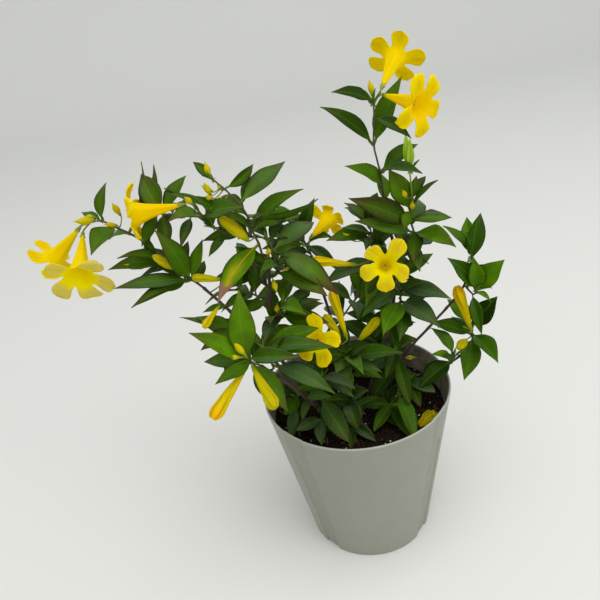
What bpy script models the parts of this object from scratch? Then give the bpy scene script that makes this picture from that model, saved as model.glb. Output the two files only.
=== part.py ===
"""A potted Carolina jasmine: tapered plastic pot, soil, twining stems, leafy sprays, buds and flowers.

Tables hold millimetres, and MM turns them into metres. A heading is in degrees anticlockwise from +X, seen
from above, and a rise is in degrees above level. The origin is the middle of the pot's underside, +Z is up,
and the pot's front faces -Y. Each stem or spray is one closed solid with the stubs that carry what grows
on it, and what grows on it starts a hair's breadth past the end of its stub.
"""

import math
from dataclasses import dataclass

import bmesh
import bpy
from mathutils import Matrix, Vector

MM = 0.001
OBJECT_NAME = "potted_carolina_jasmine"

# The pot, in millimetres and degrees round it from the front.
POT_HEIGHT = 112.0
RIM_RADIUS = 60.0
BASE_RADIUS = 41.5
POT_WALL = 1.4
CHANNEL_ANGLES = (-131.5, -48.5, 48.5, 131.5)
CHANNEL_HALF_ANGLE = 6.5
CHANNEL_SIDE_ANGLE = 1.2
CHANNEL_DEPTH = 1.2
BAND_DEPTH = 0.35
BAND_BOTTOM = 87.0
BAND_BEVEL = 3.0
DRAIN_HOLES = 4
DRAIN_RING_RADIUS = 26.0
DRAIN_RADIUS = 4.0

# The soil.
SOIL_LEVEL = 95.0
SOIL_MOUND = 3.0
SOIL_SIDE_GAP = 0.4
HOLE_CLEARANCE = 0.4

# Growth.
SEAT_GAP = 0.3
STUB_RADIUS = 0.55
STUB_ROOT_INSET = 1.2
TWIG_FOOT_RADIUS = 0.9
TWIG_TOP_RADIUS = 0.6
FIRST_NODE_RISE = 2.5
PETIOLE_HALF_WIDTH = 0.5
PETIOLE_SHARE = 0.1
BLADE_THICKNESS = 0.9
BLADE_STATIONS = ((0.3, 0.86), (0.55, 1.0), (0.8, 0.6))
BLADE_ARCH = 0.07
BLADE_FACING = Vector((0.0, -0.5, 0.87))
CURVE_STEP = 9.0

# A flower: shares of its tube's length against radius, then its lobes.
FLOWER_TUBE = ((0.0, 0.5), (0.16, 1.5), (0.62, 3.2), (0.94, 5.8))
LOBES = 5
LOBE_REACH = 15.5
LOBE_NOTCH = 7.5
LOBE_SHOULDER_SHARE = 0.93
PETAL_THICKNESS = 0.5

# A bud: shares of its length against shares of its greatest radius.
BUD_PROFILE = ((0.0, 0.3), (0.3, 0.62), (0.7, 1.0), (0.92, 0.6))
BUD_SIDES = 6


@dataclass(frozen=True)
class Finish:
    """A Principled material's colour, roughness and metallic value."""

    colour: tuple
    roughness: float
    metallic: float = 0.0


@dataclass(frozen=True)
class Stem:
    """A woody stem that rises out of the soil along points, thinning from foot to top."""

    name: str
    foot_radius: float
    top_radius: float
    points: tuple


@dataclass(frozen=True)
class Leaf:
    """A leaf at a point of its spray: where it heads, its length and width, and how far it rolls over."""

    point: int
    heading: float
    rise: float
    length: float
    width: float
    roll: float = 0.0


@dataclass(frozen=True)
class Spray:
    """A leafy twig that grows from a stem or another spray, or from the soil when carrier is None."""

    name: str
    carrier: str
    points: tuple
    leaves: tuple


@dataclass(frozen=True)
class Bloom:
    """A flower or bud: its carrier and base, where and how far it reaches, and how it is turned."""

    name: str
    carrier: str
    base: tuple
    heading: float
    rise: float
    length: float
    radius: float = 0.0
    turn: float = 0.0


PLASTIC = Finish((0.42, 0.41, 0.34), 0.45)
SOIL = Finish((0.03, 0.02, 0.015), 0.95)
BARK = Finish((0.06, 0.03, 0.025), 0.6)
LEAF = Finish((0.06, 0.16, 0.02), 0.4)
PETAL = Finish((0.85, 0.62, 0.02), 0.5)
BUD = Finish((0.80, 0.62, 0.02), 0.45)

STEMS = (
    Stem("stem_centre", 1.4, 0.9, ((6, 4, 78), (8, 3, 98), (13, 2, 116), (21, 1, 138), (28, 0, 165),
                                   (31, 1, 188), (32, 4, 204), (31, 5, 211))),
    Stem("stem_left", 1.4, 0.9, ((-10, -2, 78), (-14, -2, 98), (-25, -4, 114), (-36, -8, 130),
                                 (-44, -12, 150), (-46, -14, 170), (-43, -12, 193), (-41, -10, 210))),
    Stem("stem_low_left", 1.1, 0.8, ((-18, -8, 78), (-21, -10, 98), (-30, -16, 120), (-42, -22, 145),
                                     (-55, -22, 172), (-66, -19, 190), (-78, -16, 206))),
    Stem("stem_right", 1.0, 0.7, ((18, 6, 78), (21, 6, 98), (28, 4, 116), (38, 1, 134), (50, 3, 144.5),
                                  (63, 8, 153.5), (73, 10, 163), (78, 6, 178))),
    Stem("stem_rim", 1.0, 0.7, ((27, -1, 78), (29, -2, 98), (40, -4, 109), (54, -5, 117), (68, -1, 122),
                                (75, 2, 125))),
    Stem("stem_front", 1.1, 0.8, ((-14, -16, 78), (-18, -18, 98), (-30, -26, 124), (-42, -34, 148),
                                  (-53, -43, 167))),
    Stem("stem_middle", 1.1, 0.8, ((0, -4, 78), (0, -5, 98), (-3, -9, 120), (-6, -13, 138),
                                   (-10, -12, 152))),
    Stem("stem_back", 1.3, 0.8, ((-2, 15, 78), (-3, 18, 98), (-6, 26, 130), (-11, 32, 165),
                                 (-15, 34, 192))),
)

SPRAYS = (
    Spray("top_spray", "stem_centre", ((30, 5, 216), (29, 5, 229), (28, 3, 240), (27, 0, 250),
                                       (24, -5, 266), (25, -7, 280), (25, -8, 288)), (
        Leaf(2, 210, 45, 28, 9), Leaf(3, 15, 20, 27, 10), Leaf(3, 305, 5, 28, 8), Leaf(4, 165, 45, 34, 9),
        Leaf(4, 5, 58, 36, 12), Leaf(5, 320, -20, 22, 7), Leaf(6, 205, 25, 24, 7), Leaf(1, 80, 30, 24, 8))),
    Spray("crown_spray", "stem_centre", ((36, -1, 200), (40, -2, 205), (43, -1, 212), (42, 0, 218),
                                         (42, 0, 225), (43, -2, 232), (42, -6, 241), (41, -9, 251)), (
        Leaf(7, 90, 82, 15, 5), Leaf(7, 290, 82, 14, 4),
        Leaf(4, 310, 45, 27, 7), Leaf(5, 55, 25, 20, 6), Leaf(5, 45, 65, 13, 6), Leaf(4, 140, 62, 26, 12),
        Leaf(4, 240, -20, 14, 8), Leaf(3, 300, 25, 27, 11), Leaf(3, 195, 33, 41, 13, -25),
        Leaf(2, 192, 24, 38, 11, -25), Leaf(3, 15, -5, 26, 9), Leaf(2, 305, -5, 30, 12),
        Leaf(2, 260, -25, 22, 10), Leaf(1, 275, -22, 20, 8), Leaf(4, 100, 15, 26, 10),
        Leaf(3, 60, 10, 28, 10), Leaf(1, 40, -15, 26, 9))),
    Spray("heart_spray", "stem_centre", ((26, 3, 186), (23, 4, 196), (21, 5, 204), (20, 5, 213),
                                         (19, 5, 220)), (
        Leaf(3, 205, 25, 22, 7), Leaf(4, 270, 62, 15, 5), Leaf(3, 195, 10, 28, 9), Leaf(2, 135, 15, 25, 8),
        Leaf(1, 187, -12, 36, 12), Leaf(4, 60, 40, 20, 8), Leaf(2, 75, 0, 26, 9), Leaf(4, 150, 45, 18, 7),
        Leaf(1, 222, -38, 28, 10), Leaf(0, 224, -20, 26, 10))),
    Spray("left_crown_spray", "stem_left", ((-43, -10, 216), (-44, -10, 224), (-46, -10, 232),
                                            (-47, -10, 240),
                                            (-50, -10, 248), (-56, -10, 257), (-61, -10, 263)), (
        Leaf(4, 35, 17, 37, 13), Leaf(2, 340, 38, 37, 12), Leaf(3, 15, 0, 42, 7, 90), Leaf(2, 40, 0, 34, 9),
        Leaf(4, 65, 5, 28, 9), Leaf(5, 40, 17, 24, 7, 60), Leaf(1, 225, -25, 40, 14),
        Leaf(3, 120, 15, 28, 10), Leaf(6, 150, 45, 14, 5), Leaf(2, 215, 42, 24, 8))),
    Spray("left_heart_spray", "stem_left", ((-38, -11, 204), (-36, -11, 211), (-37, -11, 219),
                                            (-39, -10, 226)), (
        Leaf(2, 45, 10, 37, 13), Leaf(2, 335, -32, 43, 13), Leaf(0, 320, -15, 34, 12),
        Leaf(3, 50, -15, 30, 10),
        Leaf(1, 120, -45, 30, 11), Leaf(3, 118, 15, 26, 9), Leaf(1, 20, -25, 28, 10),
        Leaf(0, 70, -10, 26, 10))),
    Spray("left_mid_spray", "stem_left", ((-42, -15, 176), (-39, -16, 181), (-37, -17, 187)), (
        Leaf(0, 20, 5, 30, 11), Leaf(1, 340, -15, 28, 11), Leaf(2, 70, 20, 28, 10),
        Leaf(2, 300, 20, 26, 10), Leaf(1, 110, 10, 26, 10), Leaf(0, 75, -30, 26, 10),
        Leaf(0, 264, 34, 26, 10), Leaf(1, 250, -5, 26, 11))),
    Spray("left_bud_spray", "left_heart_spray", ((-43, -8, 227), (-52, -6, 228), (-60, -7, 231),
                                                 (-66, -9, 237)), (
        Leaf(1, 150, 10, 18, 6), Leaf(2, 95, 25, 20, 7), Leaf(3, 182, 45, 16, 5), Leaf(3, 100, 50, 16, 5),
        Leaf(2, 215, -30, 16, 5), Leaf(1, 185, 11, 22, 7))),
    Spray("left_arm_spray", "left_crown_spray", ((-51, -9, 238), (-60, -8, 242), (-70, -12, 245),
                                                 (-80, -12, 247), (-91, -9, 249), (-101, -6, 250)), (
        Leaf(2, 330, 17, 26, 12), Leaf(2, 233, 24, 26, 10), Leaf(2, 150, 38, 26, 6, 70),
        Leaf(4, 45, 35, 26, 8), Leaf(4, 125, 45, 26, 12), Leaf(5, 68, 44, 28, 6, 85),
        Leaf(3, 100, 10, 22, 8), Leaf(3, 160, -20, 24, 8), Leaf(4, 272, -52, 21, 8))),
    Spray("left_tip_spray", "left_low_spray", ((-104, -11, 236), (-110, -11, 242), (-117, -11, 247),
                                               (-122, -11, 251), (-128, -9, 251)), (
        Leaf(3, 60, 70, 20, 6), Leaf(2, 251, -7, 24, 12), Leaf(1, 145, -15, 20, 6),
        Leaf(3, 150, 15, 14, 5), Leaf(1, 59, 46, 40, 5, 80))),
    Spray("left_low_spray", "stem_low_left", ((-82, -15, 210), (-88, -15, 216), (-95, -14, 223),
                                              (-101, -12, 230)), (
        Leaf(0, 232, 65, 36, 12), Leaf(0, 195, 10, 41, 9), Leaf(2, 217, 33, 27, 8),
        Leaf(0, 210, -5, 36, 8), Leaf(1, 135, 25, 24, 9), Leaf(1, 75, 30, 22, 6), Leaf(3, 145, -15, 20, 5),
        Leaf(2, 192, 16, 30, 9), Leaf(0, 40, 54, 23, 7))),
    Spray("left_under_spray", "stem_low_left", ((-64, -24, 182), (-64, -27, 178), (-62, -30, 175)), (
        Leaf(0, 220, 10, 26, 9), Leaf(1, 150, -25, 26, 10), Leaf(1, 182, 42, 26, 10),
        Leaf(2, 240, -10, 22, 8), Leaf(2, 120, -35, 24, 9), Leaf(0, 177, 28, 33, 5))),
    Spray("left_fold_spray", "stem_left", ((-48, -9, 190), (-53, -9, 194), (-58, -10, 198)), (
        Leaf(0, 165, -45, 34, 10), Leaf(1, 120, -20, 24, 9), Leaf(2, 150, -20, 28, 5, 70),
        Leaf(2, 120, 10, 24, 7), Leaf(1, 240, 5, 14, 5), Leaf(2, 110, 46, 20, 8))),
    Spray("front_rosette", "stem_front", ((-55, -45, 170), (-57, -47, 173), (-59, -48, 176)), (
        Leaf(2, 190, 40, 34, 11), Leaf(2, 100, 85, 38, 14), Leaf(1, 165, 6, 28, 9), Leaf(1, 220, 5, 26, 8),
        Leaf(1, 305, -40, 32, 13), Leaf(2, 330, 15, 34, 9), Leaf(1, 112, -8, 26, 9))),
    Spray("front_side_spray", "stem_front", ((-47, -41, 163), (-48, -41, 169), (-50, -40, 175)), (
        Leaf(2, 4, 10, 32, 11), Leaf(2, 352, -6, 38, 10), Leaf(2, 335, 10, 38, 10),
        Leaf(0, 320, -10, 39, 11), Leaf(1, 80, 15, 26, 10))),
    Spray("middle_spray", "stem_middle", ((-6, -17, 142), (-6, -18, 146), (-6, -19, 150)), (
        Leaf(0, 340, 15, 36, 11), Leaf(1, 325, 40, 26, 11), Leaf(0, 320, -5, 24, 9),
        Leaf(2, 205, 15, 24, 9), Leaf(1, 245, 10, 20, 8), Leaf(0, 20, -10, 24, 9), Leaf(0, 168, 0, 26, 9),
        Leaf(1, 80, 19, 26, 9))),
    Spray("inner_right_spray", "stem_centre", ((31, -5, 166), (32, -6, 172), (32, -6, 179), (31, -5, 186)),
          (
        Leaf(2, 320, 10, 32, 12), Leaf(1, 295, -5, 32, 13), Leaf(1, 345, -38, 30, 13),
        Leaf(0, 261, -12, 28, 11), Leaf(3, 20, 20, 28, 9), Leaf(2, 200, -15, 28, 11),
        Leaf(0, 200, -35, 24, 10), Leaf(1, 241, -7, 32, 13), Leaf(0, 180, -39, 32, 11),
        Leaf(0, 60, -60, 26, 11))),
    Spray("right_top_spray", "stem_right", ((78, 5, 182), (78, 5, 188), (78, 5, 194)), (
        Leaf(0, 50, 45, 32, 10), Leaf(1, 275, 80, 26, 10), Leaf(1, 90, 55, 24, 10),
        Leaf(2, 225, 60, 14, 6))),
    Spray("right_mid_spray", "stem_right", ((78, 1, 164), (79, 0, 168)), (
        Leaf(1, 325, 55, 28, 13), Leaf(1, 170, 62, 27, 12), Leaf(1, 262, 80, 24, 10),
        Leaf(0, 295, 0, 13, 5), Leaf(0, 20, -5, 14, 5))),
    Spray("right_low_spray", "stem_rim", ((78, 4, 129), (78, 4, 134), (78, 4, 139)), (
        Leaf(2, 345, 58, 27, 13), Leaf(1, 280, -10, 30, 14), Leaf(2, 105, 25, 28, 11),
        Leaf(1, 175, 20, 28, 10), Leaf(0, 240, -32, 30, 14))),
    Spray("rim_spray", "stem_rim", ((61, -8, 123), (62, -9, 129)), (
        Leaf(0, 202, -22, 28, 13), Leaf(1, 110, 30, 24, 9), Leaf(1, 240, 25, 18, 8))),
    Spray("low_front_spray", None, ((-27, -26, 84), (-27, -28, 98), (-25, -28, 112), (-23, -26, 124),
                                    (-21, -25, 140)), (
        Leaf(3, 290, -18, 30, 13), Leaf(4, 300, 0, 26, 6), Leaf(2, 255, -12, 18, 8),
        Leaf(2, 205, 0, 18, 8), Leaf(4, 104, 34, 20, 8), Leaf(3, 12, -15, 22, 8), Leaf(4, 297, 20, 34, 8),
        Leaf(3, 116, 17, 26, 9))),
    Spray("low_left_spray", None, ((-38, -6, 84), (-39, -8, 98), (-40, -12, 110), (-38, -14, 120)), (
        Leaf(3, 240, -5, 16, 9), Leaf(2, 262, -10, 24, 9), Leaf(3, 100, 20, 24, 9),
        Leaf(2, 170, 25, 16, 7), Leaf(1, 290, 15, 18, 8), Leaf(2, 211, 40, 20, 8))),
    Spray("low_middle_spray", None, ((-6, -22, 84), (-6, -23, 98), (-7, -22, 109), (-8, -21, 119)), (
        Leaf(3, 280, -30, 20, 12), Leaf(2, 215, -5, 24, 8), Leaf(2, 20, 10, 20, 8),
        Leaf(1, 300, 10, 20, 8), Leaf(1, 250, 0, 18, 7), Leaf(2, 143, 6, 22, 8))),
    Spray("low_right_spray", None, ((14, -12, 84), (15, -13, 98), (19, -15, 104), (25, -15, 110)), (
        Leaf(2, 280, -4, 28, 9), Leaf(3, 270, -14, 32, 11), Leaf(2, 240, 0, 26, 8), Leaf(3, 30, 30, 18, 8),
        Leaf(2, 190, 20, 20, 8), Leaf(1, 284, 15, 24, 9))),
    Spray("low_side_spray", None, ((36, -8, 84), (35, -8, 98), (33, -5, 112), (29, -2, 124), (27, -2, 134)),
          (
        Leaf(2, 306, 5, 20, 9), Leaf(2, 282, -12, 20, 8), Leaf(4, 276, -40, 34, 9), Leaf(4, 250, 0, 24, 9),
        Leaf(3, 100, 30, 24, 9), Leaf(3, 198, -34, 30, 10), Leaf(2, 60, -20, 22, 10),
        Leaf(4, 206, -9, 28, 10), Leaf(4, 72, -31, 26, 10))),
    Spray("back_top_spray", "stem_back", ((-17, 36, 197), (-19, 38, 206), (-20, 39, 214)), (
        Leaf(0, 42, -8, 28, 9), Leaf(0, 200, 15, 30, 10), Leaf(1, 110, 20, 30, 10), Leaf(1, 290, 30, 22, 8),
        Leaf(2, 180, 40, 20, 7), Leaf(0, 318, -30, 28, 9))),
    Spray("back_left_spray", "stem_back", ((-16, 34, 168), (-28, 36, 176), (-40, 36, 184), (-52, 34, 190)),
          (
        Leaf(0, 110, 5, 28, 10), Leaf(1, 200, -15, 30, 10), Leaf(1, 90, 30, 28, 10),
        Leaf(2, 150, 10, 28, 9), Leaf(2, 250, 15, 28, 10), Leaf(3, 120, 30, 26, 8), Leaf(3, 210, 5, 28, 8),
        Leaf(1, 300, 10, 28, 10), Leaf(0, 150, -45, 28, 10), Leaf(1, 80, -40, 28, 10),
        Leaf(2, 60, -25, 26, 10))),
    Spray("back_right_spray", "stem_back", ((-4, 31, 142), (8, 34, 154), (20, 34, 166), (32, 31, 178),
                                            (42, 28, 190)), (
        Leaf(0, 100, -10, 30, 11), Leaf(1, 60, -5, 30, 11), Leaf(1, 150, 30, 28, 10),
        Leaf(2, 110, 10, 30, 10), Leaf(2, 330, -10, 30, 11), Leaf(3, 50, 15, 28, 10),
        Leaf(3, 300, 20, 24, 9), Leaf(4, 80, 30, 26, 9), Leaf(4, 340, 20, 26, 9), Leaf(1, 270, 10, 26, 10),
        Leaf(0, 328, -31, 30, 11), Leaf(0, 262, -50, 28, 10), Leaf(0, 120, -50, 28, 11),
        Leaf(2, 130, -35, 28, 10), Leaf(1, 30, -40, 26, 10))),
    Spray("back_low_spray", None, ((18, 26, 84), (19, 28, 98), (22, 31, 116), (26, 33, 132)), (
        Leaf(2, 100, 0, 28, 11), Leaf(2, 10, 5, 28, 11), Leaf(3, 60, 20, 28, 10), Leaf(3, 150, 20, 28, 10),
        Leaf(3, 330, 15, 24, 9), Leaf(1, 200, 20, 22, 9), Leaf(3, 272, -40, 28, 10),
        Leaf(3, 217, -44, 26, 10), Leaf(2, 184, 2, 28, 10), Leaf(2, 142, -8, 26, 10),
        Leaf(1, 112, 15, 24, 9))),
)

FLOWERS = (
    Bloom("flower_top", "top_spray", (30, -6, 293.5), 61, 22, 27.3, turn=10),
    Bloom("flower_top_side", "top_spray", (30, -9, 291), 302, -8, 25.9, turn=7),
    Bloom("flower_centre", "stem_centre", (26, 3, 192), 261, 26, 27, turn=1),
    Bloom("flower_back", "stem_back", (-14, 37, 203), 55, 5, 25, turn=60),
    Bloom("flower_hidden", "stem_middle", (-20, -12, 158), 265, 32, 25.8, turn=27),
    Bloom("flower_left", "left_tip_spray", (-136, -6, 248), 175, -39, 25, turn=60),
    Bloom("flower_left_hanging", "left_tip_spray", (-134, -10, 246), 272, -25, 31, turn=5),
    Bloom("flower_left_trumpet", "left_arm_spray", (-78, -15, 254), 184, -1, 26, turn=48),
)

BUDS = (
    Bloom("bud_back_trumpet", "heart_spray", (9, 0, 197), 190, 20, 28, 3.4),
    Bloom("bud_right_large", "right_low_spray", (76, 0, 139), 144, 74, 31, 4.3),
    Bloom("bud_right_small", "right_low_spray", (73, 1, 132), 230, 8, 13, 3.2),
    Bloom("bud_middle_tall", "stem_middle", (-3, -13, 157), 108, 62, 29, 3.6),
    Bloom("bud_middle_short", "stem_middle", (-7, -13, 160), 205, 64, 18, 3.2),
    Bloom("bud_middle_right", "middle_spray", (4, -12, 153), 354, 47, 19, 3.4),
    Bloom("bud_front_left", "front_rosette", (-61, -51, 172), 219, -31, 30, 4.4),
    Bloom("bud_front_right", "front_rosette", (-57, -51, 173), 293, -29, 26, 4.2),
    Bloom("bud_left_crown", "left_crown_spray", (-49, -13, 228), 185, 54, 20, 3.9),
    Bloom("bud_left_low", "left_low_spray", (-90, -19, 221), 200, 50, 14, 2.8),
    Bloom("bud_left_middle", "stem_low_left", (-67, -16, 209), 183, 17, 16, 2.8),
    Bloom("bud_left_under", "stem_low_left", (-71, -21, 196), 240, -12, 17, 2.6),
)

FALLEN_PETAL = Leaf(0, 40, -4, 17, 8, -14)
FALLEN_PETAL_BASE = (33, -31, 96.6)


def metres(point):
    """A table's point, in metres."""
    return Vector(point) * MM


def direction(heading, rise):
    """The unit vector of a heading and a rise in degrees."""
    turn = math.radians(heading)
    lift = math.radians(rise)
    return Vector((math.cos(lift) * math.cos(turn), math.cos(lift) * math.sin(turn), math.sin(lift)))


def facing(along, roll=0.0):
    """Which way a blade's face looks when it lies along a direction, turned over by roll degrees."""
    normal = (BLADE_FACING - along * BLADE_FACING.dot(along)).normalized()
    return Matrix.Rotation(math.radians(roll), 3, along) @ normal


def material(name, finish):
    """A Principled material."""
    made = bpy.data.materials.new(name)
    made.use_nodes = True
    made.diffuse_color = (*finish.colour, 1.0)
    shader = made.node_tree.nodes["Principled BSDF"]
    shader.inputs["Base Color"].default_value = (*finish.colour, 1.0)
    shader.inputs["Roughness"].default_value = finish.roughness
    shader.inputs["Metallic"].default_value = finish.metallic
    return made


def collection(name):
    """A new collection of the scene."""
    made = bpy.data.collections.new(name)
    bpy.context.scene.collection.children.link(made)
    return made


def place(name, mesh, group, finish=None):
    """Puts a mesh in a collection as an object, with a finish of its own."""
    obj = bpy.data.objects.new(name, mesh)
    group.objects.link(obj)
    if finish is not None:
        mesh.materials.clear()
        mesh.materials.append(material(name, finish))
    return obj


def baked(obj):
    """The object's mesh as its modifiers leave it; the object itself is removed."""
    bpy.context.view_layer.update()
    graph = bpy.context.evaluated_depsgraph_get()
    mesh = bpy.data.meshes.new_from_object(obj.evaluated_get(graph))
    mesh.transform(obj.matrix_world)
    bpy.data.objects.remove(obj)
    return mesh


def welded(mesh):
    """Joins a curve's loose caps to its sides."""
    work = bmesh.new()
    work.from_mesh(mesh)
    bmesh.ops.remove_doubles(work, verts=work.verts, dist=0.01 * MM)
    work.to_mesh(mesh)
    work.free()
    return mesh


def smooth_path(points):
    """Points about CURVE_STEP apart on a Catmull-Rom curve through the given ones."""
    knots = [2 * points[0] - points[1], *points, 2 * points[-1] - points[-2]]
    path = []
    for i in range(1, len(knots) - 2):
        before, start, end, after = knots[i - 1:i + 3]
        steps = max(1, round((end - start).length / (CURVE_STEP * MM)))
        for step in range(steps):
            t = step / steps
            square = 2 * before - 5 * start + 4 * end - after
            cube = 3 * start - before - 3 * end + after
            path.append(0.5 * (2 * start + (end - before) * t + square * t**2 + cube * t**3))
    path.append(points[-1])
    return path


def tube(path, foot_radius, top_radius, group):
    """A tapering tube with filled caps along a path, as a mesh object. Radii are in metres."""
    curve = bpy.data.curves.new("tube", "CURVE")
    curve.dimensions = "3D"
    curve.bevel_depth = 1.0
    curve.bevel_resolution = 1
    curve.use_fill_caps = True
    spline = curve.splines.new("POLY")
    spline.points.add(len(path) - 1)
    for i, (target, point) in enumerate(zip(spline.points, path)):
        share = i / (len(path) - 1)
        target.co = (*point, 1.0)
        target.radius = foot_radius + (top_radius - foot_radius) * share
    obj = bpy.data.objects.new("tube", curve)
    group.objects.link(obj)
    return place("tube", welded(baked(obj)), group)


def joined(pieces):
    """One mesh that is the union of overlapping closed pieces, which are removed.

    The MANIFOLD solver is used because EXACT leaves open edges where several petioles meet in one point.
    """
    whole = pieces[0]
    for piece in pieces[1:]:
        join = whole.modifiers.new("Join", "BOOLEAN")
        join.operation = "UNION"
        join.solver = "MANIFOLD"
        join.object = piece
    mesh = baked(whole)
    for piece in pieces[1:]:
        bpy.data.objects.remove(piece)
    return mesh


def mesh_from(rings, tip=None):
    """A closed mesh lofted through rings of equal count, capped at both ends or drawn to a tip."""
    work = bmesh.new()
    rows = [[work.verts.new(point) for point in ring] for ring in rings]
    count = len(rows[0])
    for low, high in zip(rows, rows[1:]):
        for i in range(count):
            j = (i + 1) % count
            work.faces.new((low[i], low[j], high[j], high[i]))
    work.faces.new(list(reversed(rows[0])))
    if tip is None:
        work.faces.new(rows[-1])
    else:
        peak = work.verts.new(tip)
        for i in range(count):
            work.faces.new((rows[-1][i], rows[-1][(i + 1) % count], peak))
    bmesh.ops.recalc_face_normals(work, faces=work.faces)
    mesh = bpy.data.meshes.new("loft")
    work.to_mesh(mesh)
    work.free()
    return mesh


def blade_mesh(base, leaf):
    """A leaf as a closed keeled blade: a petiole, a lance-shaped outline and a drawn-out tip."""
    along = direction(leaf.heading, leaf.rise)
    normal = facing(along, leaf.roll)
    side = along.cross(normal)
    length = leaf.length * MM
    stations = [(0.0, PETIOLE_HALF_WIDTH, 0.5), (PETIOLE_SHARE, PETIOLE_HALF_WIDTH, 0.6)]
    stations += [(share, 0.5 * leaf.width * fullness, 1.0) for share, fullness in BLADE_STATIONS]
    rings = []
    for share, half_width, depth in stations:
        middle = base + along * length * share + normal * length * BLADE_ARCH * 4 * share * (1 - share)
        rings.append((middle + side * half_width * MM, middle - side * half_width * MM,
                      middle - normal * BLADE_THICKNESS * depth * MM))
    return mesh_from(rings, base + along * length)


def wall_radius(height, angle):
    """The pot's outer radius at a height and an angle from its front, in millimetres and degrees."""
    cone = BASE_RADIUS + (RIM_RADIUS - BASE_RADIUS) * height / POT_HEIGHT
    off_centre = min(abs((angle - centre + 180) % 360 - 180) for centre in CHANNEL_ANGLES)
    depth = BAND_DEPTH if height >= BAND_BOTTOM else CHANNEL_DEPTH
    return cone - (depth if off_centre <= CHANNEL_HALF_ANGLE + 0.01 else 0.0)


def pot_angles():
    """The angles of the pot wall's corner lines: both edges of each channel and even steps between."""
    angles = []
    for i, centre in enumerate(CHANNEL_ANGLES):
        reach = CHANNEL_HALF_ANGLE
        angles += [centre - reach - CHANNEL_SIDE_ANGLE, centre - reach, centre, centre + reach]
        start = centre + reach + CHANNEL_SIDE_ANGLE
        following = CHANNEL_ANGLES[(i + 1) % len(CHANNEL_ANGLES)]
        end = following - reach - CHANNEL_SIDE_ANGLE + (360 if following < centre else 0)
        steps = round((end - start) / 7)
        angles += [start + (end - start) * step / steps for step in range(steps)]
    return angles


def make_pot(parts, cutters):
    """The pot: a tapered wall with four sunk channels and a flat floor with drain holes."""
    work = bmesh.new()
    angles = pot_angles()
    heights = (0.0, BAND_BOTTOM - BAND_BEVEL, BAND_BOTTOM, POT_HEIGHT)
    rows = []
    for height in heights:
        ring = []
        for angle in angles:
            radius = wall_radius(height, angle) * MM
            turn = math.radians(angle)
            ring.append(work.verts.new((radius * math.sin(turn), -radius * math.cos(turn), height * MM)))
        rows.append(ring)
    for low, high in zip(rows, rows[1:]):
        for i in range(len(angles)):
            j = (i + 1) % len(angles)
            work.faces.new((low[i], low[j], high[j], high[i]))
    work.faces.new(list(reversed(rows[0])))
    mesh = bpy.data.meshes.new("pot")
    work.to_mesh(mesh)
    work.free()
    pot = place("pot", mesh, parts, PLASTIC)
    shell = pot.modifiers.new("Wall", "SOLIDIFY")
    shell.thickness = POT_WALL * MM
    shell.offset = -1.0
    shell.use_even_offset = True
    for i in range(DRAIN_HOLES):
        turn = math.radians(45 + 360 * i / DRAIN_HOLES)
        centre = metres((DRAIN_RING_RADIUS * math.cos(turn), DRAIN_RING_RADIUS * math.sin(turn), 0))
        drill = bmesh.new()
        bmesh.ops.create_cone(drill, cap_ends=True, segments=12, radius1=DRAIN_RADIUS * MM,
                              radius2=DRAIN_RADIUS * MM, depth=6 * POT_WALL * MM,
                              matrix=Matrix.Translation(centre))
        drill_mesh = bpy.data.meshes.new("drain_cutter")
        drill.to_mesh(drill_mesh)
        drill.free()
        cutter = place(f"drain_cutter_{i + 1}", drill_mesh, cutters)
        hole = pot.modifiers.new("Drain", "BOOLEAN")
        hole.object = cutter
    return pot


def make_soil(parts, cutters, planted):
    """The soil: a turned plug under a low mound, with a hole round each planted stem."""
    floor = POT_WALL + SEAT_GAP
    inset = CHANNEL_DEPTH + POT_WALL + SOIL_SIDE_GAP
    bottom_radius = wall_radius(floor, 0) - inset
    top_radius = wall_radius(SOIL_LEVEL, 0) - inset
    profile = ((0.0, SOIL_LEVEL + SOIL_MOUND), (0.5 * top_radius, SOIL_LEVEL + 0.8 * SOIL_MOUND),
               (0.85 * top_radius, SOIL_LEVEL + 0.2 * SOIL_MOUND), (top_radius, SOIL_LEVEL - 1.0),
               (bottom_radius, floor), (0.0, floor))
    mesh = bpy.data.meshes.new("soil")
    mesh.from_pydata([metres((radius, 0, height)) for radius, height in profile],
                     [(i, i + 1) for i in range(len(profile) - 1)], [])
    soil = place("soil", mesh, parts, SOIL)
    turned = soil.modifiers.new("Turn", "SCREW")
    turned.steps = 40
    turned.render_steps = 40
    turned.use_merge_vertices = True
    turned.merge_threshold = 0.0001
    for name, path, radius in planted:
        drill = tube(path, radius, radius, cutters)
        drill.name = f"{name}_hole_cutter"
        hole = soil.modifiers.new("Hole", "BOOLEAN")
        hole.object = drill
    return soil


def flower_mesh(base, along, length, turn):
    """A trumpet flower: a flared tube and five spreading lobes, as a thin closed shell."""
    level = Matrix.Rotation(math.radians(turn), 3, along) @ along.orthogonal().normalized()
    across = along.cross(level)
    work = bmesh.new()
    rows = []
    sides = 3 * LOBES

    def ring(distance, radii):
        """A ring of points round the flower's axis."""
        points = []
        for i in range(sides):
            bearing = 2 * math.pi * i / sides
            out = level * math.cos(bearing) + across * math.sin(bearing)
            points.append(work.verts.new(base + along * distance + out * radii[i % 3] * MM))
        return points

    for share, radius in FLOWER_TUBE:
        rows.append(ring(length * share, (radius, radius, radius)))
    shoulder = LOBE_REACH * LOBE_SHOULDER_SHARE
    rows.append(ring(length * 1.04, (LOBE_NOTCH, shoulder, shoulder)))
    for low, high in zip(rows, rows[1:]):
        for i in range(sides):
            j = (i + 1) % sides
            work.faces.new((low[i], low[j], high[j], high[i]))
    work.faces.new(list(reversed(rows[0])))
    mesh = bpy.data.meshes.new("flower")
    work.to_mesh(mesh)
    work.free()
    return mesh


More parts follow.
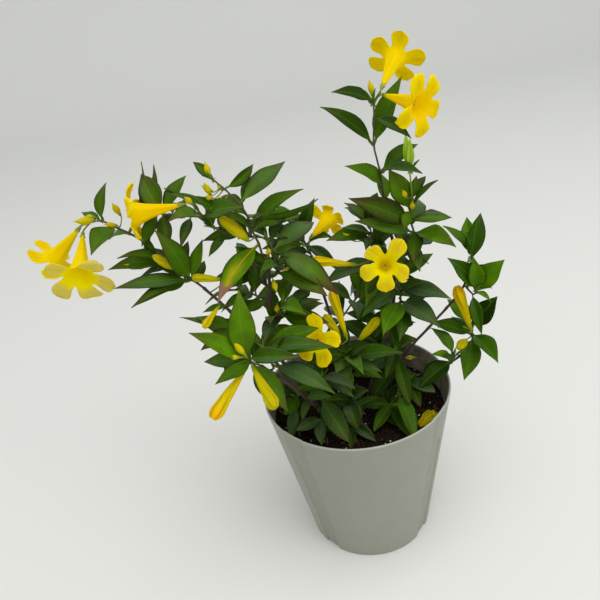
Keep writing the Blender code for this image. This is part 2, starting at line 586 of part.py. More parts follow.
def bud_mesh(base, along, length, radius):
    """A closed bud: a slim foot that swells and then draws in to a point."""
    level = along.orthogonal().normalized()
    across = along.cross(level)
    rings = []
    for share, fullness in BUD_PROFILE:
        centre = base + along * length * share
        turns = [2 * math.pi * i / BUD_SIDES for i in range(BUD_SIDES)]
        rings.append([centre + (level * math.cos(turn) + across * math.sin(turn)) * radius * fullness * MM
                      for turn in turns])
    return mesh_from(rings, base + along * length)


class Plant:
    """Grows the stems, sprays, flowers and buds, and keeps what each stem or spray has to carry."""

    def __init__(self, parts, helpers):
        self.parts = parts
        self.helpers = helpers
        self.paths = {}
        self.carried = {}
        self.planted = []
        self.trace_paths()

    def trace_paths(self):
        """Works out every centre line, and which points each one carries by a stub."""
        for stem in STEMS:
            self.paths[stem.name] = smooth_path([metres(p) for p in stem.points])
        for spray in SPRAYS:
            self.paths[spray.name] = smooth_path([metres(p) for p in spray.points])
        for item in (*SPRAYS, *FLOWERS, *BUDS):
            if item.carrier is not None:
                base = metres(item.points[0] if isinstance(item, Spray) else item.base)
                self.carried.setdefault(item.carrier, []).append(base)

    def nearest(self, carrier, base):
        """The point of a carrier's centre line that is nearest to a base, kept a little inside its ends."""
        path = self.paths[carrier]
        inset = STUB_ROOT_INSET * MM
        path = [path[0].lerp(path[1], inset / (path[1] - path[0]).length), *path[1:-1],
                path[-1].lerp(path[-2], inset / (path[-2] - path[-1]).length)]
        best = None
        for start, end in zip(path, path[1:]):
            run = end - start
            share = min(1.0, max(0.0, (base - start).dot(run) / run.length_squared))
            point = start + run * share
            if best is None or (point - base).length < (best - base).length:
                best = point
        return best

    def seat(self, carrier, base, along):
        """Where a piece starts, just past the end of its stub however the two are turned."""
        towards = (base - self.nearest(carrier, base)).normalized()
        turned = math.sqrt(max(0.0, 1.0 - max(0.0, towards.dot(along)) ** 2))
        return base + along * (SEAT_GAP + 2 * STUB_RADIUS * turned) * MM

    def stubs(self, name):
        """The short stalks by which a stem or spray carries what grows on it."""
        made = []
        for base in self.carried.get(name, ()):
            foot = self.nearest(name, base)
            made.append(tube([foot, base], STUB_RADIUS * MM, STUB_RADIUS * MM, self.helpers))
        return made

    def grow_stems(self):
        """Each woody stem with its stubs, planted in the soil."""
        for stem in STEMS:
            path = self.paths[stem.name]
            pieces = [tube(path, stem.foot_radius * MM, stem.top_radius * MM, self.helpers)]
            place(stem.name, joined(pieces + self.stubs(stem.name)), self.parts, BARK)
            self.planted.append((stem.name, path, stem.foot_radius))

    def grow_blooms(self):
        """Each flower and bud on its stub."""
        for flower in FLOWERS:
            along = direction(flower.heading, flower.rise)
            base = self.seat(flower.carrier, metres(flower.base), along)
            mesh = flower_mesh(base, along, flower.length * MM, flower.turn)
            shell = place(flower.name, mesh, self.parts, PETAL).modifiers.new("Petal", "SOLIDIFY")
            shell.thickness = PETAL_THICKNESS * MM
            shell.offset = 0.0
        for bud in BUDS:
            along = direction(bud.heading, bud.rise)
            base = self.seat(bud.carrier, metres(bud.base), along)
            place(bud.name, bud_mesh(base, along, bud.length * MM, bud.radius), self.parts, BUD)

    def grow_sprays(self):
        """Each leafy spray: its twig, its stubs and its blades as one solid."""
        for spray in SPRAYS:
            path = list(self.paths[spray.name])
            if spray.carrier is None:
                self.planted.append((spray.name, path, TWIG_FOOT_RADIUS))
            else:
                path[0] = self.seat(spray.carrier, path[0], (path[1] - path[0]).normalized())
            pieces = [tube(path, TWIG_FOOT_RADIUS * MM, TWIG_TOP_RADIUS * MM, self.helpers)]
            pieces += self.stubs(spray.name)
            for leaf in spray.leaves:
                base = metres(spray.points[leaf.point]) if leaf.point else self.first_node(spray)
                pieces.append(place("blade", blade_mesh(base, leaf), self.helpers))
            place(spray.name, joined(pieces), self.parts, LEAF)

    def first_node(self, spray):
        """Where a leaf at a twig's first point springs from, a little way up the twig."""
        path = self.paths[spray.name]
        return path[0] + (path[1] - path[0]).normalized() * FIRST_NODE_RISE * MM


def sunk(path):
    """A planted stem's centre line, from just under its foot to above the soil."""
    start = path[0] - (path[1] - path[0]).normalized() * 2 * HOLE_CLEARANCE * MM
    above = [p for p in path if p.z < (SOIL_LEVEL + SOIL_MOUND + 8) * MM]
    return [start, *above[1:], path[len(above)]]


def main():
    """Builds the whole plant in its pot."""
    for obj in list(bpy.data.objects):
        bpy.data.objects.remove(obj)
    parts = collection(OBJECT_NAME)
    cutters = collection("cutters")
    make_pot(parts, cutters)
    plant = Plant(parts, cutters)
    plant.grow_stems()
    plant.grow_blooms()
    plant.grow_sprays()
    holes = [(name, sunk(path), (radius + HOLE_CLEARANCE) * MM) for name, path, radius in plant.planted]
    make_soil(parts, cutters, holes)
    place("fallen_petal", blade_mesh(metres(FALLEN_PETAL_BASE), FALLEN_PETAL), parts, PETAL)
    for cutter in cutters.objects:
        cutter.hide_render = True
        cutter.display_type = "WIRE"


main()
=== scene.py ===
"""Dresses a potted Carolina jasmine: a moulded pot, crumbly soil, twining stems, glossy leaves, flowers and buds.

Tables hold millimetres and degrees, as the solids' own layout does: a heading runs anticlockwise from +X seen from
above, a rise is above level. Everything built from them is in metres, in the frame's axes.
"""

import logging
import math
import random
from dataclasses import dataclass, field
from enum import Enum
from functools import cache

import bmesh
import bpy
from bpy.types import ID, Material, Node, NodeSocket, NodeTree, Object
from mathutils import Matrix, Vector, kdtree, noise


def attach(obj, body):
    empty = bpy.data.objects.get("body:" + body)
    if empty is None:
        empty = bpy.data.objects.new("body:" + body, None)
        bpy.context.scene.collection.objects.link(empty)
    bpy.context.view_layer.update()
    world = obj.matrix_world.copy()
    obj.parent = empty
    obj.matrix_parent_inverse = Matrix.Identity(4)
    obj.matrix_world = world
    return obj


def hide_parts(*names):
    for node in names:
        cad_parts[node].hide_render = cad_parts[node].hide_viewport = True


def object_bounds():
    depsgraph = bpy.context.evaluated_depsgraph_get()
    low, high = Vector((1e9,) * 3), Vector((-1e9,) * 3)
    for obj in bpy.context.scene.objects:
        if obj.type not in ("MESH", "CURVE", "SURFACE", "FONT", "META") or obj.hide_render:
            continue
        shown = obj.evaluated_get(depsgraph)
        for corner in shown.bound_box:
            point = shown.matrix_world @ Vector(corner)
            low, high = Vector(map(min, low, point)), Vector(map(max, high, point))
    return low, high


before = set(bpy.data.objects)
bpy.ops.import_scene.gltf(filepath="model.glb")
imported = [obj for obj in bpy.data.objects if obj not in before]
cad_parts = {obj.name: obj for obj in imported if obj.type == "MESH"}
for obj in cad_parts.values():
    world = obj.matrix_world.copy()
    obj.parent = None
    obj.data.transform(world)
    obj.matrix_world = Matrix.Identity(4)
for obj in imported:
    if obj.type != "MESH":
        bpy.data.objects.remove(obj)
CAD_LOW, CAD_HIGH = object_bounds()

LOG = logging.getLogger("potted_jasmine")
MM = 0.001
SEED = 11
TURN = 2 * math.pi
SKYWARD = Vector((0.0, -0.5, 0.87))
EYE = Vector((-0.02674, -0.31392, 0.34868))
Point = tuple[float, float, float]
Colour = tuple[float, float, float]
Curve = tuple[tuple[float, float], ...]
Face = tuple[int, ...]
Value = float | Vector


class Slot(Enum):
    """The record's material slots."""

    PLASTIC = "plastic"
    SOIL = "soil"
    BARK = "bark"
    LEAF = "leaf"
    PETAL = "petal"
    BUD = "bud"


class Kind(Enum):
    """The sockets of a node group that hold no plain number."""

    VECTOR = "NodeSocketVector"
    GEOMETRY = "NodeSocketGeometry"
    OBJECT = "NodeSocketObject"
    MATERIAL = "NodeSocketMaterial"


# The plant's records.


@dataclass(frozen=True)
class Stem:
    """A woody stem out of the soil: its radii at foot and top and the points on its line."""

    name: str
    foot_radius: float
    top_radius: float
    points: tuple[Point, ...]


@dataclass(frozen=True)
class Leaf:
    """A leaf at one point of its spray: where it heads, how long and wide it is, and how far it rolls over."""

    point: int
    heading: float
    rise: float
    length: float
    width: float
    roll: float = 0.0


@dataclass(frozen=True)
class Spray:
    """A leafy twig on a stem or another spray, or out of the soil."""

    name: str
    carrier: str
    points: tuple[Point, ...]
    leaves: tuple[Leaf, ...]


@dataclass(frozen=True)
class FlowerLook:
    """What sets a flower apart: its lobes' leans and reaches, paleness, lobe and mouth width, bend back and waves."""

    leans: tuple[float, ...]
    reaches: tuple[float, ...]
    pale: float
    width: float
    mouth: float
    reflex: float
    ruffle: float


@dataclass(frozen=True)
class Bloom:
    """A flower or a bud: its carrier and base, where and how far it reaches, and a flower's turn and look."""

    name: str
    carrier: str
    base: Point
    heading: float
    rise: float
    length: float
    radius: float
    turn: float = 0.0
    look: FlowerLook | None = None


@dataclass(frozen=True)
class LooseLeaf:
    """A leaf beside a spray's own: its place, heading, rise, length, width, tone and bronze."""

    place: Point
    heading: float
    rise: float
    length: float
    width: float
    tone: float
    bronze: float


# Stems: name, foot and top radius / points.
STEM_TABLE = """
stem_centre 1.4 0.9 / 6 4 78, 8 3 98, 13 2 116, 21 1 138, 28 0 165, 31 1 188, 32 4 204, 31 5 211;
stem_left 1.4 0.9 / -10 -2 78, -14 -2 98, -25 -4 114, -36 -8 130, -44 -12 150, -46 -14 170, -43 -12 193, -41 -10 210;
stem_low_left 1.1 0.8 / -18 -8 78, -21 -10 98, -30 -16 120, -42 -22 145, -55 -22 172, -66 -19 190, -78 -16 206;
stem_right 1.0 0.7 / 18 6 78, 21 6 98, 28 4 116, 38 1 134, 50 3 144.5, 63 8 153.5, 73 10 163, 78 6 178;
stem_rim 1.0 0.7 / 27 -1 78, 29 -2 98, 40 -4 109, 54 -5 117, 68 -1 122, 75 2 125;
stem_front 1.1 0.8 / -14 -16 78, -18 -18 98, -30 -26 124, -42 -34 148, -53 -43 167;
stem_middle 1.1 0.8 / 0 -4 78, 0 -5 98, -3 -9 120, -6 -13 138, -10 -12 152;
stem_back 1.3 0.8 / -2 15 78, -3 18 98, -6 26 130, -11 32 165, -15 34 192;
"""
# Sprays: name and carrier / points / leaves by point, heading, rise, length, width and roll.
SPRAY_TABLE = """
top_spray stem_centre / 30 5 216, 29 5 229, 28 3 240, 27 0 250, 24 -5 266, 25 -7 280, 25 -8 288 / 2 210 45 28 9, 3 15
  20 27 10, 3 305 5 28 8, 4 165 45 34 9, 4 5 58 36 12, 5 320 -20 22 7, 6 205 25 24 7, 1 80 30 24 8;
crown_spray stem_centre / 36 -1 200, 40 -2 205, 43 -1 212, 42 0 218, 42 0 225, 43 -2 232, 42 -6 241, 41 -9 251 / 7 90
  82 15 5, 7 290 82 14 4, 4 310 45 27 7, 5 55 25 20 6, 5 45 65 13 6, 4 140 62 26 12, 4 240 -20 14 8, 3 300 25 27 11, 3
  195 33 41 13 -25, 2 192 24 38 11 -25, 3 15 -5 26 9, 2 305 -5 30 12, 2 260 -25 22 10, 1 275 -22 20 8, 4 100 15 26 10,
  3 60 10 28 10, 1 40 -15 26 9;
heart_spray stem_centre / 26 3 186, 23 4 196, 21 5 204, 20 5 213, 19 5 220 / 3 205 25 22 7, 4 270 62 15 5, 3 195 10 28
  9, 2 135 15 25 8, 1 187 -12 36 12, 4 60 40 20 8, 2 75 0 26 9, 4 150 45 18 7, 1 222 -38 28 10, 0 224 -20 26 10;
left_crown_spray stem_left / -43 -10 216, -44 -10 224, -46 -10 232, -47 -10 240, -50 -10 248, -56 -10 257, -61 -10 263
  / 4 35 17 37 13, 2 340 38 37 12, 3 15 0 42 7 90, 2 40 0 34 9, 4 65 5 28 9, 5 40 17 24 7 60, 1 225 -25 40 14, 3 120
  15 28 10, 6 150 45 14 5, 2 215 42 24 8;
left_heart_spray stem_left / -38 -11 204, -36 -11 211, -37 -11 219, -39 -10 226 / 2 45 10 37 13, 2 335 -32 43 13, 0
  320 -15 34 12, 3 50 -15 30 10, 1 120 -45 30 11, 3 118 15 26 9, 1 20 -25 28 10, 0 70 -10 26 10;
left_mid_spray stem_left / -42 -15 176, -39 -16 181, -37 -17 187 / 0 20 5 30 11, 1 340 -15 28 11, 2 70 20 28 10, 2 300
  20 26 10, 1 110 10 26 10, 0 75 -30 26 10, 0 264 34 26 10, 1 250 -5 26 11;
left_bud_spray left_heart_spray / -43 -8 227, -52 -6 228, -60 -7 231, -66 -9 237 / 1 150 10 18 6, 2 95 25 20 7, 3 182
  45 16 5, 3 100 50 16 5, 2 215 -30 16 5, 1 185 11 22 7;
left_arm_spray left_crown_spray / -51 -9 238, -60 -8 242, -70 -12 245, -80 -12 247, -91 -9 249, -101 -6 250 / 2 330 17
  26 12, 2 233 24 26 10, 2 150 38 26 6 70, 4 45 35 26 8, 4 125 45 26 12, 5 68 44 28 6 85, 3 100 10 22 8, 3 160 -20 24
  8, 4 272 -52 21 8;
left_tip_spray left_low_spray / -104 -11 236, -110 -11 242, -117 -11 247, -122 -11 251, -128 -9 251 / 3 60 70 20 6, 2
  251 -7 24 12, 1 145 -15 20 6, 3 150 15 14 5, 1 59 46 40 5 80;
left_low_spray stem_low_left / -82 -15 210, -88 -15 216, -95 -14 223, -101 -12 230 / 0 232 65 36 12, 0 195 10 41 9, 2
  217 33 27 8, 0 210 -5 36 8, 1 135 25 24 9, 1 75 30 22 6, 3 145 -15 20 5, 2 192 16 30 9, 0 40 54 23 7;
left_under_spray stem_low_left / -64 -24 182, -64 -27 178, -62 -30 175 / 0 220 10 26 9, 1 150 -25 26 10, 1 182 42 26
  10, 2 240 -10 22 8, 2 120 -35 24 9, 0 177 28 33 5;
left_fold_spray stem_left / -48 -9 190, -53 -9 194, -58 -10 198 / 0 165 -45 34 10, 1 120 -20 24 9, 2 150 -20 28 5 70,
  2 120 10 24 7, 1 240 5 14 5, 2 110 46 20 8;
front_rosette stem_front / -55 -45 170, -57 -47 173, -59 -48 176 / 2 190 40 34 11, 2 100 85 38 14, 1 165 6 28 9, 1 220
  5 26 8, 1 305 -40 32 13, 2 330 15 34 9, 1 112 -8 26 9;
front_side_spray stem_front / -47 -41 163, -48 -41 169, -50 -40 175 / 2 4 10 32 11, 2 352 -6 38 10, 2 335 10 38 10, 0
  320 -10 39 11, 1 80 15 26 10;
middle_spray stem_middle / -6 -17 142, -6 -18 146, -6 -19 150 / 0 340 15 36 11, 1 325 40 26 11, 0 320 -5 24 9, 2 205
  15 24 9, 1 245 10 20 8, 0 20 -10 24 9, 0 168 0 26 9, 1 80 19 26 9;
inner_right_spray stem_centre / 31 -5 166, 32 -6 172, 32 -6 179, 31 -5 186 / 2 320 10 32 12, 1 295 -5 32 13, 1 345 -38
  30 13, 0 261 -12 28 11, 3 20 20 28 9, 2 200 -15 28 11, 0 200 -35 24 10, 1 241 -7 32 13, 0 180 -39 32 11, 0 60 -60 26
  11;
right_top_spray stem_right / 78 5 182, 78 5 188, 78 5 194 / 0 50 45 32 10, 1 275 80 26 10, 1 90 55 24 10, 2 225 60 14
  6;
right_mid_spray stem_right / 78 1 164, 79 0 168 / 1 325 55 28 13, 1 170 62 27 12, 1 262 80 24 10, 0 295 0 13 5, 0 20
  -5 14 5;
right_low_spray stem_rim / 78 4 129, 78 4 134, 78 4 139 / 2 345 58 27 13, 1 280 -10 30 14, 2 105 25 28 11, 1 175 20 28
  10, 0 240 -32 30 14;
rim_spray stem_rim / 61 -8 123, 62 -9 129 / 0 202 -22 28 13, 1 110 30 24 9, 1 240 25 18 8;
low_front_spray soil / -27 -26 84, -27 -28 98, -25 -28 112, -23 -26 124, -21 -25 140 / 3 290 -18 30 13, 4 300 0 26 6,
  2 255 -12 18 8, 2 205 0 18 8, 4 104 34 20 8, 3 12 -15 22 8, 4 297 20 34 8, 3 116 17 26 9;
low_left_spray soil / -38 -6 84, -39 -8 98, -40 -12 110, -38 -14 120 / 3 240 -5 16 9, 2 262 -10 24 9, 3 100 20 24 9, 2
  170 25 16 7, 1 290 15 18 8, 2 211 40 20 8;
low_middle_spray soil / -6 -22 84, -6 -23 98, -7 -22 109, -8 -21 119 / 3 280 -30 20 12, 2 215 -5 24 8, 2 20 10 20 8, 1
  300 10 20 8, 1 250 0 18 7, 2 143 6 22 8;
low_right_spray soil / 14 -12 84, 15 -13 98, 19 -15 104, 25 -15 110 / 2 280 -4 28 9, 3 270 -14 32 11, 2 240 0 26 8, 3
  30 30 18 8, 2 190 20 20 8, 1 284 15 24 9;
low_side_spray soil / 36 -8 84, 35 -8 98, 33 -5 112, 29 -2 124, 27 -2 134 / 2 306 5 20 9, 2 282 -12 20 8, 4 276 -40 34
  9, 4 250 0 24 9, 3 100 30 24 9, 3 198 -34 30 10, 2 60 -20 22 10, 4 206 -9 28 10, 4 72 -31 26 10;
back_top_spray stem_back / -17 36 197, -19 38 206, -20 39 214 / 0 42 -8 28 9, 0 200 15 30 10, 1 110 20 30 10, 1 290 30
  22 8, 2 180 40 20 7, 0 318 -30 28 9;
back_left_spray stem_back / -16 34 168, -28 36 176, -40 36 184, -52 34 190 / 0 110 5 28 10, 1 200 -15 30 10, 1 90 30
  28 10, 2 150 10 28 9, 2 250 15 28 10, 3 120 30 26 8, 3 210 5 28 8, 1 300 10 28 10, 0 150 -45 28 10, 1 80 -40 28 10,
  2 60 -25 26 10;
back_right_spray stem_back / -4 31 142, 8 34 154, 20 34 166, 32 31 178, 42 28 190 / 0 100 -10 30 11, 1 60 -5 30 11, 1
  150 30 28 10, 2 110 10 30 10, 2 330 -10 30 11, 3 50 15 28 10, 3 300 20 24 9, 4 80 30 26 9, 4 340 20 26 9, 1 270 10
  26 10, 0 328 -31 30 11, 0 262 -50 28 10, 0 120 -50 28 11, 2 130 -35 28 10, 1 30 -40 26 10;
back_low_spray soil / 18 26 84, 19 28 98, 22 31 116, 26 33 132 / 2 100 0 28 11, 2 10 5 28 11, 3 60 20 28 10, 3 150 20
  28 10, 3 330 15 24 9, 1 200 20 22 9, 3 272 -40 28 10, 3 217 -44 26 10, 2 184 2 28 10, 2 142 -8 26 10, 1 112 15 24 9;
"""
# Flowers: name and carrier / base / heading, rise, length, radius and turn / leans / reaches / paleness, width,
# mouth, reflex and ruffle.
FLOWER_TABLE = """
flower_top top_spray / 30 -6 293.5 / 61 22 27.3 0 10 / 2 -10 14 1 -5 / 15.8 15.5 15.9 15.0 14.5 / 0.0 1.0 1.0 0.03
  0.55;
flower_top_side top_spray / 30 -9 291 / 302 -8 25.9 0 7 / 6 -1 3 -17 6 / 15.6 13.9 14.6 15.5 15.7 / -0.9 0.94 1.08
  0.12 0.9;
flower_centre stem_centre / 26 3 192 / 261 26 27 0 1 / -2 -13 1 10 2 / 14.4 14.2 16.9 13.7 15.1 / 0.1 1.02 1.0 0.06
  0.55;
flower_back stem_back / -14 37 203 / 55 5 25 0 60 / -4 0 7 0 11 / 10.5 12 16 11 11 / 0.0 0.9 1.0 0.06 0.55;
flower_hidden stem_middle / -20 -12 158 / 265 32 25.8 0 27 / -9 -12 12 0 7 / 15.7 14.1 15.2 14 12.3 / 0.0 0.92 1.0
  0.06 0.55;
flower_left left_tip_spray / -136 -6 248 / 175 -39 25 0 60 / 8 12 0 0 22 / 15.8 16.2 14 14 18.5 / 0.0 1.0 1.0 0.0 0.6;
flower_left_hanging left_tip_spray / -134 -10 246 / 272 -25 31 0 5 / 12 -16 -22 9 19 / 17 18 14.5 17.2 18 / 0.95 1.12
  1.18 0.06 1.0;
flower_left_trumpet left_arm_spray / -78 -15 254 / 184 -1 26 0 48 / 0 0 0 -2 2 / 15 15.9 15 16.2 15.2 / -0.6 1.0 1.2
  0.16 0.8;
"""
# Buds: name and carrier / base / heading, rise, length and radius.
BUD_TABLE = """
bud_back_trumpet heart_spray / 9 0 197 / 190 20 28 3.4;
bud_right_large right_low_spray / 76 0 139 / 144 74 31 4.3;
bud_right_small right_low_spray / 73 1 132 / 230 8 13 3.2;
bud_middle_tall stem_middle / -3 -13 157 / 108 62 29 3.6;
bud_middle_short stem_middle / -7 -13 160 / 205 64 18 3.2;
bud_middle_right middle_spray / 4 -12 153 / 354 47 19 3.4;
bud_front_left front_rosette / -61 -51 172 / 219 -31 30 4.4;
bud_front_right front_rosette / -57 -51 173 / 293 -29 26 4.2;
bud_left_crown left_crown_spray / -49 -13 228 / 185 54 20 3.9;
bud_left_low left_low_spray / -90 -19 221 / 200 50 14 2.8;
bud_left_middle stem_low_left / -67 -16 209 / 183 17 16 2.8;
bud_left_under stem_low_left / -71 -21 196 / 240 -12 17 2.6;
"""
# Young buds: base, heading, rise and length.
YOUNG_BUD_TABLE = """
-62 -10 262 121 75 11, -63 -12 254 250 61 12, -57 -10 256 157 56 5, -58 -12 252 167 47 3, -72 -20 254 245 48 10, 42 5
  122 169 3 8, 28 0 116 324 71 8, 29 -5 104 117 71 12, 25 -8 289 110 78 10, -57.5 -54.2 179.7 145 49 13, -7 -15 142 33
  42 6, -111 -12 251 252 64 12, -123 -10 251 227 20 16, -124 -10 253 192 18 7, -113 -12 247 191 21 9, -107 -15 222 215
  36 12, -60.6 -53.4 181.2 180 11 7, 19 3 216 50 67 10, 42 -4 225 283 75 8, 40 -4 233 221 61 8, 11 2 210 197 45 12,
  -40 -12 216 288 63 8, -28 -12 206 196 22 6, -40 -14 205 281 -40 10, 77 4 137 151 19 12, 39 -5 200 63 65 12, -42 -15
  178 66 58 10, -61 -11 256 195 42 9, -62 -11 253 232 30 8, -59 -12 251 215 -10 7, -54 -53 176 330 30 5
"""
# Leaves beside a spray's own: spray / place, heading, rise, length, width, tone and bronze.
LOOSE_TABLE = """
left_low_spray / -101 -15 223 128 68 19 5.5 0.25 1.2, -85 -18 214 180 34 17 9.5 0.35 0.3;
left_mid_spray / -66 -8 252 180 30 22 5.5 0.45 0.4, -58 -16 245 196 42 20 8.5 0.55 0.2;
left_under_spray / -64 -20 196 193 0 15 4.5 0.5 0.2;
low_front_spray / -27 -24 117 300 10 15 6.0 0.15 0.1, -24 -22 110 350 25 16 6.5 0.3 0.0;
low_left_spray / -31 -27 126 250 5 16 6.0 0.25 0.3, -33 -28 129 330 20 17 6.0 0.35 0.1, -38 -31 139 345 5 15 5.5 0.4
  0.3;
"""


def numbers(text: str) -> list[tuple[float, ...]]:
    """The rows of numbers in a text, parted by commas."""
    return [tuple(float(part) if "." in part else int(part) for part in row.split()) for row in text.split(",")]


def records(table: str) -> list[list[str]]:
    """The fields of each record in a table: records end in semicolons, fields are parted by slashes."""
    return [record.split("/") for record in table.split(";")[:-1]]


def read_stem(head: str, points: str) -> Stem:
    """A stem from its record."""
    name, foot, top = head.split()
    return Stem(name, float(foot), float(top), tuple(numbers(points)))


def read_bloom(head: str, base: str, reach: str, *look: str) -> Bloom:
    """A flower or a bud from its record."""
    shape = FlowerLook(*numbers(look[0]), *numbers(look[1]), *numbers(look[2])[0]) if look else None
    return Bloom(*head.split(), *numbers(base), *numbers(reach)[0], look=shape)


STEMS = [read_stem(*parts) for parts in records(STEM_TABLE)]
SPRAYS = [Spray(*head.split(), tuple(numbers(points)), tuple(Leaf(*row) for row in numbers(leaves)))
          for head, points, leaves in records(SPRAY_TABLE)]
FLOWERS = [read_bloom(*parts) for parts in records(FLOWER_TABLE)]
BUDS = [read_bloom(*parts) for parts in records(BUD_TABLE)]
YOUNG_BUDS = [(row[:3], *row[3:]) for row in numbers(YOUNG_BUD_TABLE)]
LOOSE_LEAVES = {name.strip(): [LooseLeaf(row[:3], *row[3:]) for row in numbers(rows)]
                for name, rows in records(LOOSE_TABLE)}
FALLEN_PETAL_BASE = (33, -31, 96.6)
FALLEN_PETAL = Leaf(0, 40, -4, 17, 8, -14)
LIME_LEAVES = ("crown_spray", 7)
TURNING_LEAF = ("left_crown_spray", 40)


# Plain helpers.


def metres(point: Point) -> Vector:
    """A table's point, in metres."""
    return Vector(point) * MM


def direction(heading: float, rise: float) -> Vector:
    """The unit vector of a heading and a rise in degrees."""
    turn, lift = math.radians(heading), math.radians(rise)
    return Vector((math.cos(lift) * math.cos(turn), math.cos(lift) * math.sin(turn), math.sin(lift)))


def facing(along: Vector, roll: float = 0.0) -> Vector:
    """Which way a blade's face looks when it lies along a direction, turned over by roll degrees."""
    normal = (SKYWARD - along * SKYWARD.dot(along)).normalized()
    return Matrix.Rotation(math.radians(roll), 3, along) @ normal


def clamped(value: float) -> float:
    """A number kept from 0 to 1."""
    return min(1.0, max(0.0, value))


def hump(value: float, centre: float, width: float) -> float:
    """A bell curve: 1 at its centre, about a third at its width."""
    return math.exp(-((value - centre) / width) ** 2)


def smooth_path(points: list[Vector], step: float) -> list[Vector]:
    """Points on a Catmull-Rom curve through the given ones.

    Args:
        points: The curve's own points.
        step: About how far apart the new points lie.

    Returns:
        The new points, with the given ones among them.
    """
    knots = [2 * points[0] - points[1], *points, 2 * points[-1] - points[-2]]
    path = []
    for i in range(1, len(knots) - 2):
        before, start, end, after = knots[i - 1:i + 3]
        steps = max(1, round((end - start).length / step))
        for k in range(steps):
            t = k / steps
            square, cube = 2 * before - 5 * start + 4 * end - after, 3 * start - before - 3 * end + after
            path.append(0.5 * (2 * start + (end - before) * t + square * t**2 + cube * t**3))
    path.append(points[-1])
    return path


def nearest_on(path: list[Vector], point: Vector) -> Vector:
    """The place on a path that is nearest to a point.

    Args:
        path: The path's points.
        point: The point.

    Returns:
        The place.
    """
    best = path[0]
    for start, end in zip(path, path[1:]):
        run = end - start
        candidate = start + run * clamped((point - start).dot(run) / max(run.length_squared, 1e-12))
        if (candidate - point).length < (best - point).length:
            best = candidate
    return best


def curve_through(pairs: Curve, x: float) -> float:
    """A smooth function through (x, y) pairs, flat beyond them.

    Args:
        pairs: The pairs, in order.
        x: Where to read it.

    Returns:
        Its value there.
    """
    if not pairs[0][0] < x < pairs[-1][0]:
        return pairs[0][1] if x <= pairs[0][0] else pairs[-1][1]
    i = next(k for k, pair in enumerate(pairs) if x <= pair[0])
    (x0, y0), (x1, y1) = pairs[i - 1], pairs[i]
    before, after = pairs[max(0, i - 2)], pairs[min(len(pairs) - 1, i + 1)]
    width, t = x1 - x0, (x - x0) / (x1 - x0)
    leave, arrive = (y1 - before[1]) / (x1 - before[0]) * width, (after[1] - y0) / (after[0] - x0) * width
    start, end = y0 * (2 * t**3 - 3 * t**2 + 1), y1 * (3 * t**2 - 2 * t**3)
    return start + leave * (t**3 - 2 * t**2 + t) + end + arrive * (t**3 - t**2)


TREE_VALUES = ("root", "axis", "side", "face", "span", "habit", "sway", "thick", "size")


@dataclass
class Surface:
    """A mesh in the making: its points, edges and faces, and the named values that each point carries."""

    points: list[Vector] = field(default_factory=list)
    edges: list[tuple[int, int]] = field(default_factory=list)
    faces: list[Face] = field(default_factory=list)
    values: dict[str, list[Value]] = field(default_factory=dict)

    def point(self, place: Vector, **values: Value) -> int:
        """Adds a point.

        Args:
            place: Where it is, in metres.
            **values: What it carries.

        Returns:
            Its number.
        """
        self.points.append(place)
        for name, value in values.items():
            self.values.setdefault(name, []).append(value)
        return len(self.points) - 1

    def band(self, low: int, high: int, count: int) -> None:
        """Joins two closed rings, given their first numbers, with quads that face away from the axis."""
        self.faces += [(low + i, low + (i + 1) % count, high + (i + 1) % count, high + i) for i in range(count)]

    def bands(self, rows: int, count: int) -> None:
        """Joins the first rings, one after another."""
        for row in range(rows - 1):
            self.band(row * count, (row + 1) * count, count)

    def fan(self, first: int, count: int, below: bool) -> None:
        """Closes a ring to the last point, looking back down the axis when below is set."""
        fan = [(first + i, first + (i + 1) % count, len(self.points) - 1) for i in range(count)]
        self.faces += [face[::-1] for face in fan] if below else fan

    def made(self, name: str, *finishes: Material) -> Object:
        """Makes it a smooth object of the scene.

        Args:
            name: The object's name.
            *finishes: Its materials.

        Returns:
            The object.
        """
        mesh = bpy.data.meshes.new(name)
        mesh.from_pydata(self.points, self.edges, self.faces)
        mesh.polygons.foreach_set("use_smooth", [True] * len(mesh.polygons))
        for key, values in self.values.items():
            if isinstance(values[0], Vector):
                flat = [x for vector in values for x in vector]
                mesh.attributes.new(key, "FLOAT_VECTOR", "POINT").data.foreach_set("vector", flat)
            else:
                mesh.attributes.new(key, "FLOAT", "POINT").data.foreach_set("value", values)
        for finish in finishes:
            mesh.materials.append(finish)
        return in_scene(name, mesh)

    def grown(self, name: str, tree: NodeTree, **inputs: object) -> Object:
        """Makes it an object, grows it by a Geometry Nodes tree and makes the result plain.

        Args:
            name: The object's name.
            tree: The tree.
            **inputs: The tree's inputs by name, set by their sockets' identifiers.

        Returns:
            A plain mesh object without the values that only the tree needs.
        """
        obj = self.made(name)
        modifier = obj.modifiers.new(tree.name, "NODES")
        modifier.node_group = tree
        for item in tree.interface.items_tree:
            if item.item_type == "SOCKET" and item.in_out == "INPUT" and item.name in inputs:
                modifier[item.identifier] = inputs[item.name]
        return made_plain(obj, tuple(key for key in self.values if key in TREE_VALUES))


PATTERNS: list[Object] = []


def pattern(name: str, surface: Surface) -> Object:
    """Makes a shape that other pieces are copied from, and that is kept only until they are made."""
    PATTERNS.append(surface.made(name))
    return PATTERNS[-1]


def in_scene(name: str, data: ID) -> Object:
    """Puts a mesh, a light or a camera in the scene.

    Args:
        name: The object's name.
        data: What it shows.

    Returns:
        The object.
    """
    obj = bpy.data.objects.new(name, data)
    bpy.context.scene.collection.objects.link(obj)
    return obj


